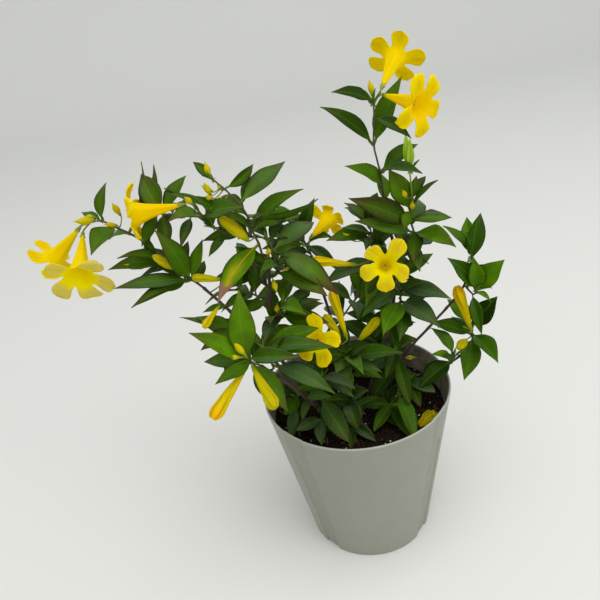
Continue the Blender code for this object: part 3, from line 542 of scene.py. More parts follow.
def made_plain(obj: Object, dropped: tuple[str, ...] = ()) -> Object:
    """Turns an object's modifiers into a plain mesh at the origin.

    Args:
        obj: The object, which is removed.
        dropped: Attributes that only its modifiers needed.

    Returns:
        A mesh object of the same name.
    """
    bpy.context.view_layer.update()
    graph = bpy.context.evaluated_depsgraph_get()
    mesh = bpy.data.meshes.new_from_object(obj.evaluated_get(graph), preserve_all_data_layers=True, depsgraph=graph)
    mesh.transform(obj.matrix_world)
    name = obj.name
    bpy.data.objects.remove(obj)
    for attribute in dropped:
        mesh.attributes.remove(mesh.attributes[attribute])
    if None in list(mesh.materials):
        finish = next(material for material in mesh.materials if material)
        mesh.materials.clear()
        mesh.materials.append(finish)
    return in_scene(name, mesh)


def thicken(obj: Object, thickness: float, offset: float, second: int = 0) -> Object:
    """Gives a thin skin its thickness and makes it plain.

    Args:
        obj: The skin.
        thickness: Its thickness in millimetres.
        offset: Which side it grows to, -1 for behind its faces and 0 for both.
        second: The material slot of its other side.

    Returns:
        A plain mesh object of the same name.
    """
    skin = obj.modifiers.new("Skin", "SOLIDIFY")
    skin.thickness = thickness * MM
    skin.offset = offset
    skin.material_offset = second
    skin.material_offset_rim = 0
    return made_plain(obj)


def deliver(obj: Object, slot: Slot, *nodes: str) -> None:
    """Rides a finished piece on the root body and reports it.

    Args:
        obj: The piece.
        slot: Its material slot.
        *nodes: The solids it stands for.
    """
    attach(obj, "root")
    if nodes:
        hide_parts(*nodes)
    LOG.info("%s: %d faces, slot %s, stands for %d solids", obj.name, len(obj.data.polygons), slot.value, len(nodes))


# Node trees.


class Field:
    """A socket of a node tree: arithmetic extends it with Math nodes, and colours lie over it with Mix nodes."""

    def __init__(self, graph: "Graph", socket: NodeSocket) -> None:
        """Wraps an output socket."""
        self.graph = graph
        self.socket = socket

    def math(self, operation: str, *others: "Field | float") -> "Field":
        """A Math node of this socket and others.

        Args:
            operation: The node's operation.
            *others: Its other inputs.

        Returns:
            The node's output.
        """
        node = self.graph.node("ShaderNodeMath", operation=operation)
        for plug, value in zip(node.inputs, (self, *others)):
            self.graph.plug(plug, value)
        return Field(self.graph, node.outputs[0])

    def __add__(self, other: "Field | float") -> "Field":
        """Sum."""
        return self.math("ADD", other)

    def __sub__(self, other: "Field | float") -> "Field":
        """Difference."""
        return self.math("SUBTRACT", other)

    def __rsub__(self, other: float) -> "Field":
        """Difference from a number."""
        return self * -1.0 + other

    def __mul__(self, other: "Field | float") -> "Field":
        """Product."""
        return self.math("MULTIPLY", other)

    __radd__, __rmul__ = __add__, __mul__

    def ramp(self, low: float, high: float) -> "Field":
        """0 at low, 1 at high, smooth between and flat beyond; low may be above high."""
        links = {"Value": self, "From Min": low, "From Max": high}
        return self.graph.out("ShaderNodeMapRange", links, interpolation_type="SMOOTHSTEP")

    def over(self, share: "Field | float", colour: "Field | Colour") -> "Field":
        """This colour with a share of another laid over it."""
        return self.graph.blend(share, self, colour)


class Graph:
    """A node tree with short calls for the nodes this file uses."""

    def __init__(self, tree: NodeTree) -> None:
        """Wraps a tree."""
        self.tree = tree

    def node(self, kind: str, links: dict[str, object] | None = None, **settings: object) -> Node:
        """Adds a node.

        Args:
            kind: The node's type name.
            links: Input names against fields or plain values.
            **settings: The node's own properties.

        Returns:
            The node.
        """
        node = self.tree.nodes.new(kind)
        for key, value in settings.items():
            setattr(node, key, value)
        for name, value in (links or {}).items():
            self.plug(next(plug for plug in node.inputs if plug.name == name and plug.enabled), value)
        return node

    def out(self, kind: str, links: dict[str, object] | None = None, output: str = "", **settings: object) -> Field:
        """Adds a node and gives one of its outputs.

        Args:
            kind: The node's type name.
            links: Input names against fields or plain values.
            output: The output's name, or nothing for the first one in use.
            **settings: The node's own properties.

        Returns:
            The output.
        """
        node = self.node(kind, links, **settings)
        return Field(self, next(plug for plug in node.outputs if plug.enabled and output in ("", plug.name)))

    def split(self, vector: Field) -> tuple[Field, Field, Field]:
        """A vector's three numbers."""
        node = self.node("ShaderNodeSeparateXYZ", {"Vector": vector})
        return tuple(Field(self, out) for out in node.outputs)

    def scaled(self, vector: Field, amount: Field) -> Field:
        """A vector times a number."""
        return self.out("ShaderNodeVectorMath", {"Vector": vector, "Scale": amount}, operation="SCALE")

    def blend(self, share: Field | float, first: Field | Colour, second: Field | Colour) -> Field:
        """A colour between two.

        Args:
            share: 0 for the first, 1 for the second.
            first: The first colour.
            second: The second colour.

        Returns:
            The colour.
        """
        node = self.node("ShaderNodeMix", data_type="RGBA", clamp_factor=True)
        for index, value in ((0, share), (6, first), (7, second)):
            self.plug(node.inputs[index], value)
        return Field(self, node.outputs[2])

    def noise(self, vector: Field, scale: Field | float, detail: float, rough: float = 0.55) -> Field:
        """Noise from 0 to 1 at a scale in 1/m."""
        links = {"Vector": vector, "Scale": scale, "Detail": detail, "Roughness": rough}
        return self.out("ShaderNodeTexNoise", links)

    def given(self, name: str) -> Field:
        """One of a group's own inputs."""
        return Field(self, self.tree.nodes["Group Input"].outputs[name])

    def give(self, **links: Field) -> NodeTree:
        """Feeds a group's outputs and gives its tree."""
        self.feed(self.tree.nodes["Group Output"], links)
        return self.tree

    def feed(self, node: Node, links: dict[str, object]) -> None:
        """Links or sets a node's inputs by name."""
        for name, value in links.items():
            self.plug(node.inputs[name], value)

    def plug(self, target: NodeSocket, value: object) -> None:
        """Links or sets one input.

        Args:
            target: The input.
            value: A field, or a plain value; a colour is three numbers.
        """
        if isinstance(value, Field):
            self.tree.links.new(value.socket, target)
        elif isinstance(value, tuple) and len(value) == 3 and target.type == "RGBA":
            target.default_value = (*value, 1.0)
        else:
            target.default_value = value


def new_group(name: str, tree_type: str, inputs: dict[str, Kind | float], outputs: dict[str, str]) -> Graph:
    """A node group with named sockets.

    Args:
        name: The group's name.
        tree_type: Its tree's type.
        inputs: Input names against their kinds, or their own values when they are numbers.
        outputs: Output names against socket types.

    Returns:
        Its graph, with Group Input and Group Output in it.
    """
    tree = bpy.data.node_groups.new(name, tree_type)
    for label, value in inputs.items():
        number = "NodeSocketInt" if isinstance(value, int) else "NodeSocketFloat"
        socket = value.value if isinstance(value, Kind) else number
        made = tree.interface.new_socket(label, in_out="INPUT", socket_type=socket)
        if not isinstance(value, Kind):
            made.default_value = value
    for label, socket in outputs.items():
        tree.interface.new_socket(label, in_out="OUTPUT", socket_type=socket)
    tree.nodes.new("NodeGroupInput")
    tree.nodes.new("NodeGroupOutput")
    return Graph(tree)


def effect_group(name: str, inputs: dict[str, Kind | float], *outputs: str) -> Graph:
    """A shader node group whose outputs are numbers."""
    return new_group(name, "ShaderNodeTree", inputs, dict.fromkeys(outputs, "NodeSocketFloat"))


def growth_group(name: str, **inputs: Kind | float) -> Graph:
    """A Geometry Nodes group that takes a geometry and a material and gives the geometry it grows."""
    sockets = {"Geometry": Kind.GEOMETRY, **inputs, "Finish": Kind.MATERIAL}
    return new_group(name, "GeometryNodeTree", sockets, {"Geometry": Kind.GEOMETRY.value})


# Effects that several finishes share.


@cache
def mottle_effect() -> NodeTree:
    """Broad and fine cloudiness in three dimensions, with a height.

    Returns:
        The group.
    """
    graph = effect_group("Mottle", {"Vector": Kind.VECTOR, "Scale": 300.0}, "Broad", "Fine", "Height")
    vector, scale = graph.given("Vector"), graph.given("Scale")
    broad = graph.noise(vector, scale * 0.16, 2.0, 0.5).ramp(0.32, 0.68)
    fine = graph.noise(vector, scale, 5.0, 0.6)
    return graph.give(Broad=broad, Fine=fine.ramp(0.3, 0.7), Height=fine + broad * 0.4)


@cache
def streaks_effect() -> NodeTree:
    """Uneven lines that run along a surface, from a coordinate across it and one along it.

    Returns:
        The group.
    """
    inputs = {"Across": 0.0, "Along": 0.0, "Count": 10.0, "Variant": 0.0}
    graph = effect_group("Streaks", inputs, "Lines", "Height")
    across, along, count, variant = (graph.given(name) for name in inputs)
    place = graph.out("ShaderNodeCombineXYZ", {"X": across * count, "Y": along * 1.6, "Z": variant})
    height = graph.noise(place, 1.0, 2.0) * 0.7 + graph.noise(place, 2.7, 1.0) * 0.3
    return graph.give(Lines=height.ramp(0.46, 0.66), Height=height)


@cache
def veins_effect() -> NodeTree:
    """A midrib and slanting side veins, from how far a place is from the midrib and how far along it.

    Returns:
        The group.
    """
    inputs = {"Across": 0.0, "Along": 0.0, "Pairs": 7.0, "Slant": 0.28}
    graph = effect_group("Veins", inputs, "Midrib", "Side", "Height")
    across, along, pairs, slant = (graph.given(name) for name in inputs)
    away = across.math("ABSOLUTE")
    midrib = away.ramp(0.085, 0.02)
    phase = ((along - away * slant) * pairs).math("FRACT")
    line = (phase - 0.5).math("ABSOLUTE").ramp(0.085, 0.01)
    side = line * away.ramp(0.98, 0.5) * (1.0 - midrib)
    return graph.give(Midrib=midrib, Side=side, Height=(midrib + side * 0.45) * -1.0 + 1.0)


@cache
def specks_effect() -> NodeTree:
    """Scattered small spots, in patches: a mask.

    Returns:
        The group.
    """
    graph = effect_group("Specks", {"Vector": Kind.VECTOR, "Scale": 900.0, "Cover": 0.1}, "Mask")
    vector, scale, cover = (graph.given(name) for name in ("Vector", "Scale", "Cover"))
    cells = graph.node("ShaderNodeTexVoronoi", {"Vector": vector, "Scale": scale}, feature="F1")
    patch = graph.noise(vector, scale * 0.11, 2.0, 0.5)
    dot = Field(graph, cells.outputs["Distance"]).ramp(0.30, 0.12)
    share, _, _ = graph.split(Field(graph, cells.outputs["Color"]))
    return graph.give(Mask=dot * share.math("LESS_THAN", cover * 2.0) * patch.ramp(0.42, 0.62))


class Coat:
    """One material in the making: its graph, its shader and the coordinates it reads."""

    def __init__(self, name: str) -> None:
        """Starts a material with a Principled shader.

        Args:
            name: The material's name.
        """
        self.material = bpy.data.materials.new(name)
        self.material.use_nodes = True
        self.graph = Graph(self.material.node_tree)
        self.shader = self.material.node_tree.nodes["Principled BSDF"]
        self.place = self.graph.out("ShaderNodeTexCoord", output="Object")

    def value(self, name: str) -> Field:
        """A named number stored on the mesh."""
        return self.graph.out("ShaderNodeAttribute", output="Fac", attribute_type="GEOMETRY", attribute_name=name)

    def vector(self, name: str) -> tuple[Field, Field, Field]:
        """A named vector stored on the mesh, in its three numbers."""
        stored = self.graph.out("ShaderNodeAttribute", output="Vector", attribute_type="GEOMETRY", attribute_name=name)
        return self.graph.split(stored)

    def use(self, effect: NodeTree, **links: Field | float) -> dict[str, Field]:
        """Places a shared effect.

        Args:
            effect: The effect.
            **links: Its inputs by name.

        Returns:
            Its outputs by name.
        """
        node = self.graph.node("ShaderNodeGroup", node_tree=effect)
        self.graph.feed(node, links)
        return {out.name: Field(self.graph, out) for out in node.outputs}

    def cloud(self, scale: float) -> dict[str, Field]:
        """Cloudiness on the piece's own place: Broad, Fine and Height."""
        return self.use(mottle_effect(), Vector=self.place, Scale=scale)

    def specks(self, scale: float, cover: float) -> Field:
        """The mask of small spots on the piece's own place."""
        return self.use(specks_effect(), Vector=self.place, Scale=scale, Cover=cover)["Mask"]

    def streaks(self, across: Field, along: Field, count: float, variant: Field | float = 0.0) -> dict[str, Field]:
        """Lines along a surface: Lines and Height."""
        return self.use(streaks_effect(), Across=across, Along=along, Count=count, Variant=variant)

    def wire(self, colour: Field, roughness: Field | float, height: Field | None = None, bump: float = 0.0,
             **others: Field | float | Colour) -> Material:
        """Feeds the shader.

        Args:
            colour: The base colour.
            roughness: A field, or one number for the whole surface.
            height: What the bump reads, from 0 to about 1.
            bump: How high 1 stands, in metres.
            **others: What other sockets of the shader get, with _ for spaces.

        Returns:
            The finished material.
        """
        links = {"Base Color": colour, "Roughness": roughness}
        if height is not None:
            links["Normal"] = self.graph.out("ShaderNodeBump", {"Height": height, "Distance": bump, "Strength": 1.0})
        links |= {name.replace("_", " "): value for name, value in others.items()}
        self.graph.feed(self.shader, links)
        return self.material


def darker(colour: Colour, share: float) -> Colour:
    """A colour at a share of its brightness."""
    return tuple(share * part for part in colour)


@dataclass(frozen=True)
class PotPlastic:
    """Satin moulded plastic with faint clouding, a painted highlight on the lip, painted shade in the channels and a
    dusty soiled inside.
    """

    outside: Colour = (0.268, 0.273, 0.221)
    lip: Colour = (0.39, 0.395, 0.335)
    inside: Colour = (0.30, 0.265, 0.185)
    soiled: Colour = (0.105, 0.092, 0.064)
    grime: Colour = (0.035, 0.025, 0.018)
    dust: Colour = (0.12, 0.10, 0.08)

    def material(self) -> Material:
        """Builds it; the mesh carries `inner`, from 0 outside to 1 inside, `lip`, which takes a painted highlight, and
        `sunk`, which takes painted shade.

        Returns:
            The material.
        """
        coat = Coat("pot_plastic")
        graph, inner = coat.graph, coat.value("inner")
        cloud, dust = coat.cloud(320.0), coat.specks(700.0, 0.10)
        stain = graph.noise(coat.place, 90.0, 6.0, 0.62).ramp(0.36, 0.66)
        outside = (graph.blend(cloud["Broad"] * 0.22, self.outside, darker(self.outside, 0.86))
                   # Painted shade: the outside is darker where it runs into the sunk channels.
                   .over(coat.value("sunk") * 0.55, darker(self.outside, 0.84))
                   # Painted highlight: the lip is laid paler.
                   .over(coat.value("lip") * 0.8, self.lip))
        inside = graph.blend(stain * 0.75, self.inside, self.soiled).over(dust * 0.8, self.grime)
        colour = outside.over(inner, inside).over(dust * 0.18, self.dust)
        rough = cloud["Fine"] * 0.10 + inner * 0.25 + 0.40
        return coat.wire(colour, rough, cloud["Height"], 0.00003)


@dataclass(frozen=True)
class PottingSoil:
    """Dark moist peat with paler fibre, for the bed and its crumbs."""

    name: str = "potting_soil"
    dark: Colour = (0.0036, 0.0024, 0.0012)
    pale: Colour = (0.026, 0.015, 0.0075)
    fibre: Colour = (0.15, 0.09, 0.05)

    def material(self) -> Material:
        """Builds it.

        Returns:
            The material.
        """
        coat = Coat(self.name)
        grain = coat.cloud(900.0)
        colour = (coat.graph.blend(grain["Fine"] * 0.65, self.dark, self.pale)
                  .over(grain["Broad"] * 0.4, self.dark)
                  .over(coat.specks(1100.0, 0.16) * 0.55, self.fibre))
        return coat.wire(colour, 0.95, grain["Height"], 0.0004, Specular_IOR_Level=0.08)


@dataclass(frozen=True)
class Lump:
    """A loose bit with its own place between two colours: perlite, a bark chip or pollen."""

    name: str
    first: Colour
    second: Colour
    roughness: float

    def material(self) -> Material:
        """Builds it.

        Returns:
            The material.
        """
        coat = Coat(self.name)
        grain, bit = coat.cloud(1500.0), coat.graph.out("ShaderNodeNewGeometry", output="Random Per Island")
        colour = coat.graph.blend(bit * 0.7 + grain["Fine"] * 0.3, self.first, self.second)
        return coat.wire(colour, self.roughness, grain["Height"], 0.00015)


@dataclass(frozen=True)
class Stalk:
    """Bark or green skin on a stem: foot to tip colour by `tint`, and fresh green beyond 1."""

    name: str
    foot: Colour
    tip: Colour
    groove: Colour
    roughness: float
    bump: float
    fresh: Colour = (0.200, 0.320, 0.030)

    def material(self) -> Material:
        """Builds it; the mesh carries `tint`, `around` and `run`.

        Returns:
            The material.
        """
        coat = Coat(self.name)
        tint, cloud = coat.value("tint"), coat.cloud(500.0)
        lines = coat.streaks(coat.value("around"), coat.value("run") * 160.0, 9.0)
        spot = tuple(min(1.0, 2.2 * part + 0.03) for part in self.foot)
        colour = (coat.graph.blend(tint + cloud["Broad"] * 0.2 - 0.1, self.foot, self.tip)
                  .over(tint.ramp(1.0, 1.5), self.fresh)
                  .over(lines["Lines"] * 0.6, self.groove)
                  .over(coat.specks(1300.0, 0.16) * 0.5, spot))
        rough = cloud["Fine"] * 0.15 + self.roughness
        return coat.wire(colour, rough, lines["Height"] + cloud["Fine"] * 0.5, self.bump)


@dataclass(frozen=True)
class LeafSkin:
    """Satin leaf: dark to bright green by `tone` (lime beyond 1), bronzed by `bronze`, a turning one by `aged`, with a
    painted sheen on some upward-facing blades.
    """

    dark: Colour = (0.0075, 0.0300, 0.0006)
    middle: Colour = (0.0310, 0.0920, 0.0008)
    bright: Colour = (0.0880, 0.2100, 0.0010)
    lime: Colour = (0.3300, 0.5000, 0.0300)
    rib: Colour = (0.1300, 0.2300, 0.0250)
    aged_rib: Colour = (0.55, 0.26, 0.01)
    bronze: Colour = (0.0700, 0.0270, 0.0140)
    # Painted sheen: a grey-green standing in for the sky's reflection, laid on the upward faces of some blades.
    bloom: Colour = (0.1150, 0.1650, 0.1050)
    turning: Colour = (0.3900, 0.3900, 0.0060)
    scorched: Colour = (0.2500, 0.1250, 0.0850)
    back_dark: Colour = (0.050, 0.092, 0.024)
    back_bright: Colour = (0.150, 0.250, 0.028)
    back_rib: Colour = (0.20, 0.29, 0.07)
    back_bronze: Colour = (0.110, 0.060, 0.040)
    dust: Colour = (0.40, 0.41, 0.36)

    def material(self) -> Material:
        """Builds it; the mesh carries `tone`, `bronze`, `aged`, `under`, `margin` and `local`.

        Returns:
            The material.
        """
        coat = Coat("leaf_skin")
        graph = coat.graph
        along, across, _ = coat.vector("local")
        tone, bronze, aged, under, edge = map(coat.value, ("tone", "bronze", "aged", "under", "margin"))
        veins = coat.use(veins_effect(), Across=across, Along=along, Pairs=6.5, Slant=0.30)
        cloud = coat.cloud(650.0)
        broad, fine, midrib = cloud["Broad"], cloud["Fine"], veins["Midrib"]
        geometry = graph.node("ShaderNodeNewGeometry")
        _, _, up = graph.split(Field(graph, geometry.outputs["Normal"]))
        island = Field(graph, geometry.outputs["Random Per Island"])
        yellow = aged * edge.ramp(0.85, 0.10) * along.ramp(0.25, 0.65) * (broad * 0.6 + 0.30)
        # Painted reflection: upward-facing faces of some blades turn grey-green, as if they reflected the sky.
        painted_sheen = up.ramp(0.50, 0.97) * (island.ramp(0.45, 0.75) * tone.ramp(0.9, 0.5)) * (fine * 0.14 + 0.24)
        blush = bronze * (edge.ramp(0.72, 1.0) * 0.30 + along.ramp(0.60, 1.0) * 0.70 + broad * 0.20)
        rib = graph.blend(aged, self.rib, self.aged_rib)
        back = (graph.blend(tone, self.back_dark, self.back_bright)
                .over(midrib * 0.4, self.back_rib)
                .over(bronze * 0.5, self.back_bronze))
        colour = (graph.blend(tone.ramp(0.0, 0.5), self.dark, self.middle)
                  .over(tone.ramp(0.5, 1.0), self.bright)
                  .over(broad * 0.35, self.dark)
                  .over(along.ramp(0.35, 0.0) * 0.30, self.bright)
                  .over(bronze * edge.ramp(0.85, 0.15) * 0.35, self.bright)
                  .over(tone.ramp(1.0, 1.5), self.lime)
                  .over(yellow, self.turning)
                  .over(veins["Side"] * 0.09, self.rib)
                  .over(midrib * (aged * 0.4 + 0.28), rib)
                  # The painted sheen is laid over the leaf's colour here.
                  .over(painted_sheen, self.bloom)
                  .over(blush, self.bronze)
                  .over(aged * (along + edge * 0.05).ramp(0.74, 0.82), self.scorched)
                  .over(under * 0.85, back)
                  .over(coat.specks(800.0, 0.05) * 0.25, self.dust))
        rough = fine * 0.14 + under * 0.20 + 0.30
        return coat.wire(colour, rough, veins["Height"] + fine * 0.25, 0.00012, Specular_IOR_Level=0.14,
                         Specular_Tint=(0.85, 1.0, 0.30))


@dataclass(frozen=True)
class PetalSkin:
    """One face of a petal: yellow lobes with paler rims that are a painted highlight, gold in and on the tube with a
    painted glow, amber where the throat is warm.
    """

    name: str
    clear: Colour
    rim: Colour
    shade: Colour
    gold: Colour
    amber: Colour
    line: Colour
    lines: float = 0.34
    # How strongly the tube glows: painted light standing in for light through the petal.
    lit: float = 0.0
    foot: Colour = (0.36, 0.46, 0.01)
    pale: Colour = (0.50, 0.41, 0.085)

    def material(self) -> Material:
        """Builds it; the mesh carries `petal`: across, along the flower, and paleness, which is under 0 when warm.

        Returns:
            The material.
        """
        coat = Coat(self.name)
        graph = coat.graph
        across, along, pale = coat.vector("petal")
        lines, cloud = coat.streaks(across, along, 14.0), coat.cloud(420.0)
        off = (across.math("FRACT") - 0.5).math("ABSOLUTE") * 2.0
        middle = off.ramp(0.75, 0.1) * along.ramp(0.98, 0.86) * (cloud["Broad"] * 0.5 + 0.45)
        # Painted highlight: the lobes' rims and ends are laid paler.
        edge = off.ramp(0.62, 1.0) * along.ramp(0.70, 0.82) + along.ramp(0.95, 1.0)
        throat = along.ramp(0.84, 0.66) * (0.95 - along.ramp(0.30, 0.0) * 0.6)
        colour = (graph.blend(middle, self.clear, self.shade)
                  .over(edge * 0.8, self.rim)
                  .over(throat, graph.blend(pale * -1.0, self.gold, self.amber))
                  .over(lines["Lines"] * (along.ramp(0.20, 0.50) * self.lines + 0.10), self.line)
                  .over(along.ramp(0.14, 0.0) * 0.8, self.foot))
        colour = colour.over(pale * (cloud["Broad"] * 0.3 + 0.7), colour.over(along.ramp(0.67, 0.77), self.pale))
        # Painted glow: the tube and the throat's foot give off their gold by emission, standing in for light through
        # the thin petals.
        glow = graph.blend(along.ramp(0.80, 0.50), (0.0, 0.0, 0.0), self.gold)
        return coat.wire(colour, cloud["Fine"] * 0.12 + 0.55, lines["Height"] + cloud["Fine"] * 0.2, 0.00010,
                         Specular_IOR_Level=0.02, Subsurface_Weight=0.45, Subsurface_Scale=1.0,
                         Subsurface_Radius=(0.0030, 0.0022, 0.0001), Emission_Color=glow, Emission_Strength=self.lit)


@dataclass(frozen=True)
class BudSkin:
    """A bud: green foot, yellow body, darker folds, and an orange flush by `flush`, or a green one under 0."""

    name: str
    foot: Colour
    body: Colour
    fold: Colour
    flush: Colour

    def material(self) -> Material:
        """Builds it; the mesh carries `bud`: groove depth, along and flush; and `turn`: around.

        Returns:
            The material.
        """
        coat = Coat(self.name)
        groove, along, flush = coat.vector("bud")
        around, _, _ = coat.vector("turn")
        lines, cloud = coat.streaks(around, along, 9.0, flush), coat.cloud(500.0)
        colour = (coat.graph.blend(along.ramp(0.0, 0.26), self.foot, self.body)
                  .over(flush * -0.6, self.foot)
                  .over(flush * along.ramp(0.60, 0.95) + cloud["Broad"] * 0.10, self.flush)
                  .over(lines["Lines"] * 0.28, self.fold)
                  .over(groove * 0.85, self.fold))
        # Painted glow: the bud gives off a little of its own colour by emission, which lifts its shaded side.
        return coat.wire(colour, cloud["Fine"] * 0.12 + 0.42, lines["Height"] + cloud["Fine"] * 0.3, 0.0003,
                         Specular_IOR_Level=0.05, Subsurface_Weight=0.15, Subsurface_Scale=1.0,
                         Subsurface_Radius=(0.0015, 0.0012, 0.0001), Emission_Color=colour, Emission_Strength=0.14)


@dataclass(frozen=True)
class FloorPaint:
    """Matt pale floor with a barely visible unevenness."""

    tone: Colour = (0.72, 0.72, 0.69)

    def material(self) -> Material:
        """Builds it.

        Returns:
            The material.
        """
        coat = Coat("floor_paint")
        share = coat.cloud(30.0)["Broad"] * 0.05
        return coat.wire(coat.graph.blend(share, self.tone, darker(self.tone, 0.9)), 0.85)


# Geometry Nodes.


def named(graph: Graph, name: str, kind: str = "FLOAT_VECTOR") -> Field:
    """A stored attribute."""
    return graph.out("GeometryNodeInputNamedAttribute", {"Name": name}, data_type=kind)


def stored(graph: Graph, geometry: Field, name: str, value: Field) -> Field:
    """A geometry with one more number stored on its points."""
    links = {"Geometry": geometry, "Name": name, "Value": value}
    return graph.out("GeometryNodeStoreNamedAttribute", links, data_type="FLOAT", domain="POINT")


def shape_of(graph: Graph, name: str) -> Field:
    """The geometry of the object that a tree is given."""
    return graph.out("GeometryNodeObjectInfo", {"Object": graph.given(name)}, "Geometry")


def stood_on(graph: Graph, points: Field, shape: Field, **turned: Field) -> Field:
    """A shape's instances on points, turned and sized."""
    return graph.out("GeometryNodeInstanceOnPoints", {"Points": points, "Instance": shape, **turned})


def finished(graph: Graph, geometry: Field) -> NodeTree:
    """Ends a tree: instances made real, smooth, and in their material.

    Args:
        graph: The tree's graph.
        geometry: What it has grown.

    Returns:
        The tree.
    """
    real = graph.out("GeometryNodeRealizeInstances", {"Geometry": geometry})
    smooth = graph.out("GeometryNodeSetShadeSmooth", {"Geometry": real})
    finish = graph.given("Finish")
    return graph.give(Geometry=graph.out("GeometryNodeSetMaterial", {"Geometry": smooth, "Material": finish}))


@cache
def blades_tree() -> NodeTree:
    """Stands a unit blade on each point and bends it there: arch, keel, droop, wavy margin and twist.

    Returns:
        The tree.
    """
    graph = growth_group("Blades", Blade=Kind.OBJECT, Arch=0.07)
    stood = stood_on(graph, graph.given("Geometry"), shape_of(graph, "Blade"))
    real = graph.out("GeometryNodeRealizeInstances", {"Geometry": stood})
    along, across, deep = graph.split(named(graph, "local"))
    length, half_width, thickness = graph.split(named(graph, "span"))
    curl, fold, phase = graph.split(named(graph, "habit"))
    twist, sweep, wave = graph.split(named(graph, "sway"))
    out = across * half_width
    away = out.math("ABSOLUTE")
    ripple = (along * 15.0 + phase + across * 0.8).math("SINE") * away * wave
    rise = along * (1.0 - along) * 4.0 * graph.given("Arch") * length - along * along * along * curl * length
    lift = rise + away * fold + ripple + deep * thickness + along * out * twist
    beside = out * (1.0 - fold * fold * 0.4) + along * along * sweep * length
    place = named(graph, "root")
    for amount, name in ((along * length, "axis"), (beside, "side"), (lift, "face")):
        part = graph.scaled(named(graph, name), amount)
        total = graph.node("ShaderNodeVectorMath", operation="ADD")
        graph.plug(total.inputs[0], place)
        graph.plug(total.inputs[1], part)
        place = Field(graph, total.outputs[0])
    return finished(graph, graph.out("GeometryNodeSetPosition", {"Geometry": real, "Position": place}))


@cache
def stalks_tree() -> NodeTree:
    """Wraps a round skin of each point's `thick` radius along edge paths, a little uneven.

    Returns:
        The tree.
    """
    graph = growth_group("Stalks", Sides=10, Unevenness=0.0)
    thick = named(graph, "thick", "FLOAT")
    path = graph.out("GeometryNodeMeshToCurve", {"Mesh": graph.given("Geometry")})
    path = stored(graph, path, "run", graph.out("GeometryNodeSplineParameter", output="Length"))
    circle = graph.out("GeometryNodeCurvePrimitiveCircle", {"Resolution": graph.given("Sides"), "Radius": 1.0})
    circle = stored(graph, circle, "around", graph.out("GeometryNodeSplineParameter", output="Factor"))
    skin = graph.out("GeometryNodeCurveToMesh", {"Curve": path, "Profile Curve": circle, "Scale": thick,
                                                 "Fill Caps": True})
    bumps = graph.noise(graph.out("GeometryNodeInputPosition"), 420.0, 2.0) - 0.5
    push = graph.scaled(graph.out("GeometryNodeInputNormal"), bumps * graph.given("Unevenness") * thick)
    return finished(graph, graph.out("GeometryNodeSetPosition", {"Geometry": skin, "Offset": push}))


@cache
def crumbs_tree() -> NodeTree:
    """Scatters turned and sized copies of a crumb over a surface.

    Returns:
        The tree.
    """
    graph = growth_group("Crumbs", Crumb=Kind.OBJECT, Density=100000.0, Smallest=0.5, Largest=1.0, Seed=0)
    seed = graph.given("Seed")
    spots = graph.out("GeometryNodeDistributePointsOnFaces", {"Mesh": graph.given("Geometry"), "Seed": seed,
                                                              "Density": graph.given("Density")})
    turn = graph.out("FunctionNodeRandomValue", {"Max": (6.28, 6.28, 6.28), "Seed": seed},
                     data_type="FLOAT_VECTOR")
    size = graph.out("FunctionNodeRandomValue", {"Min": graph.given("Smallest"), "Max": graph.given("Largest"),
                                                 "Seed": seed}, data_type="FLOAT")
    return finished(graph, stood_on(graph, spots, shape_of(graph, "Crumb"), Rotation=turn, Scale=size))


@cache
def upright_tree() -> NodeTree:
    """Stands a copy of a shape on each point, turned to the point's `axis` and sized by its `size`.

    Returns:
        The tree.
    """
    graph = growth_group("Upright copies", Shape=Kind.OBJECT)
    turn = graph.out("FunctionNodeAlignRotationToVector", {"Vector": named(graph, "axis")}, axis="Z")
    size = named(graph, "size")
    shape = shape_of(graph, "Shape")
    return finished(graph, stood_on(graph, graph.given("Geometry"), shape, Rotation=turn, Scale=size))


# The pot and its soil.


CHANNEL_CENTRES = (-131.5, -48.5, 48.5, 131.5)


def eased(share: float) -> float:
    """0 to 1 with soft ends, flat beyond them."""
    share = clamped(share)
    return share * share * (3 - 2 * share)


def channel_share(angle: float) -> float:
    """How far a place round the pot is inside one of the four sunk channels, from 0 to 1."""
    off = min(abs((angle - centre + 180) % 360 - 180) for centre in CHANNEL_CENTRES)
    return eased((8.3 - off) / 2.2)


def wall_radius(height: float, angle: float) -> float:
    """The pot's outer radius in millimetres at a height and an angle from its front."""
    depth = 1.2 + (0.35 - 1.2) * eased((height - 83.5) / 4.0)
    return 41.5 + 18.5 * height / 112.0 - depth * channel_share(angle)


def round_pot(radius: float, angle: float, height: float) -> Vector:
    """A place round the pot's axis, by an angle in radians from its front, in metres."""
    return metres((radius * math.sin(angle), -radius * math.cos(angle), height))


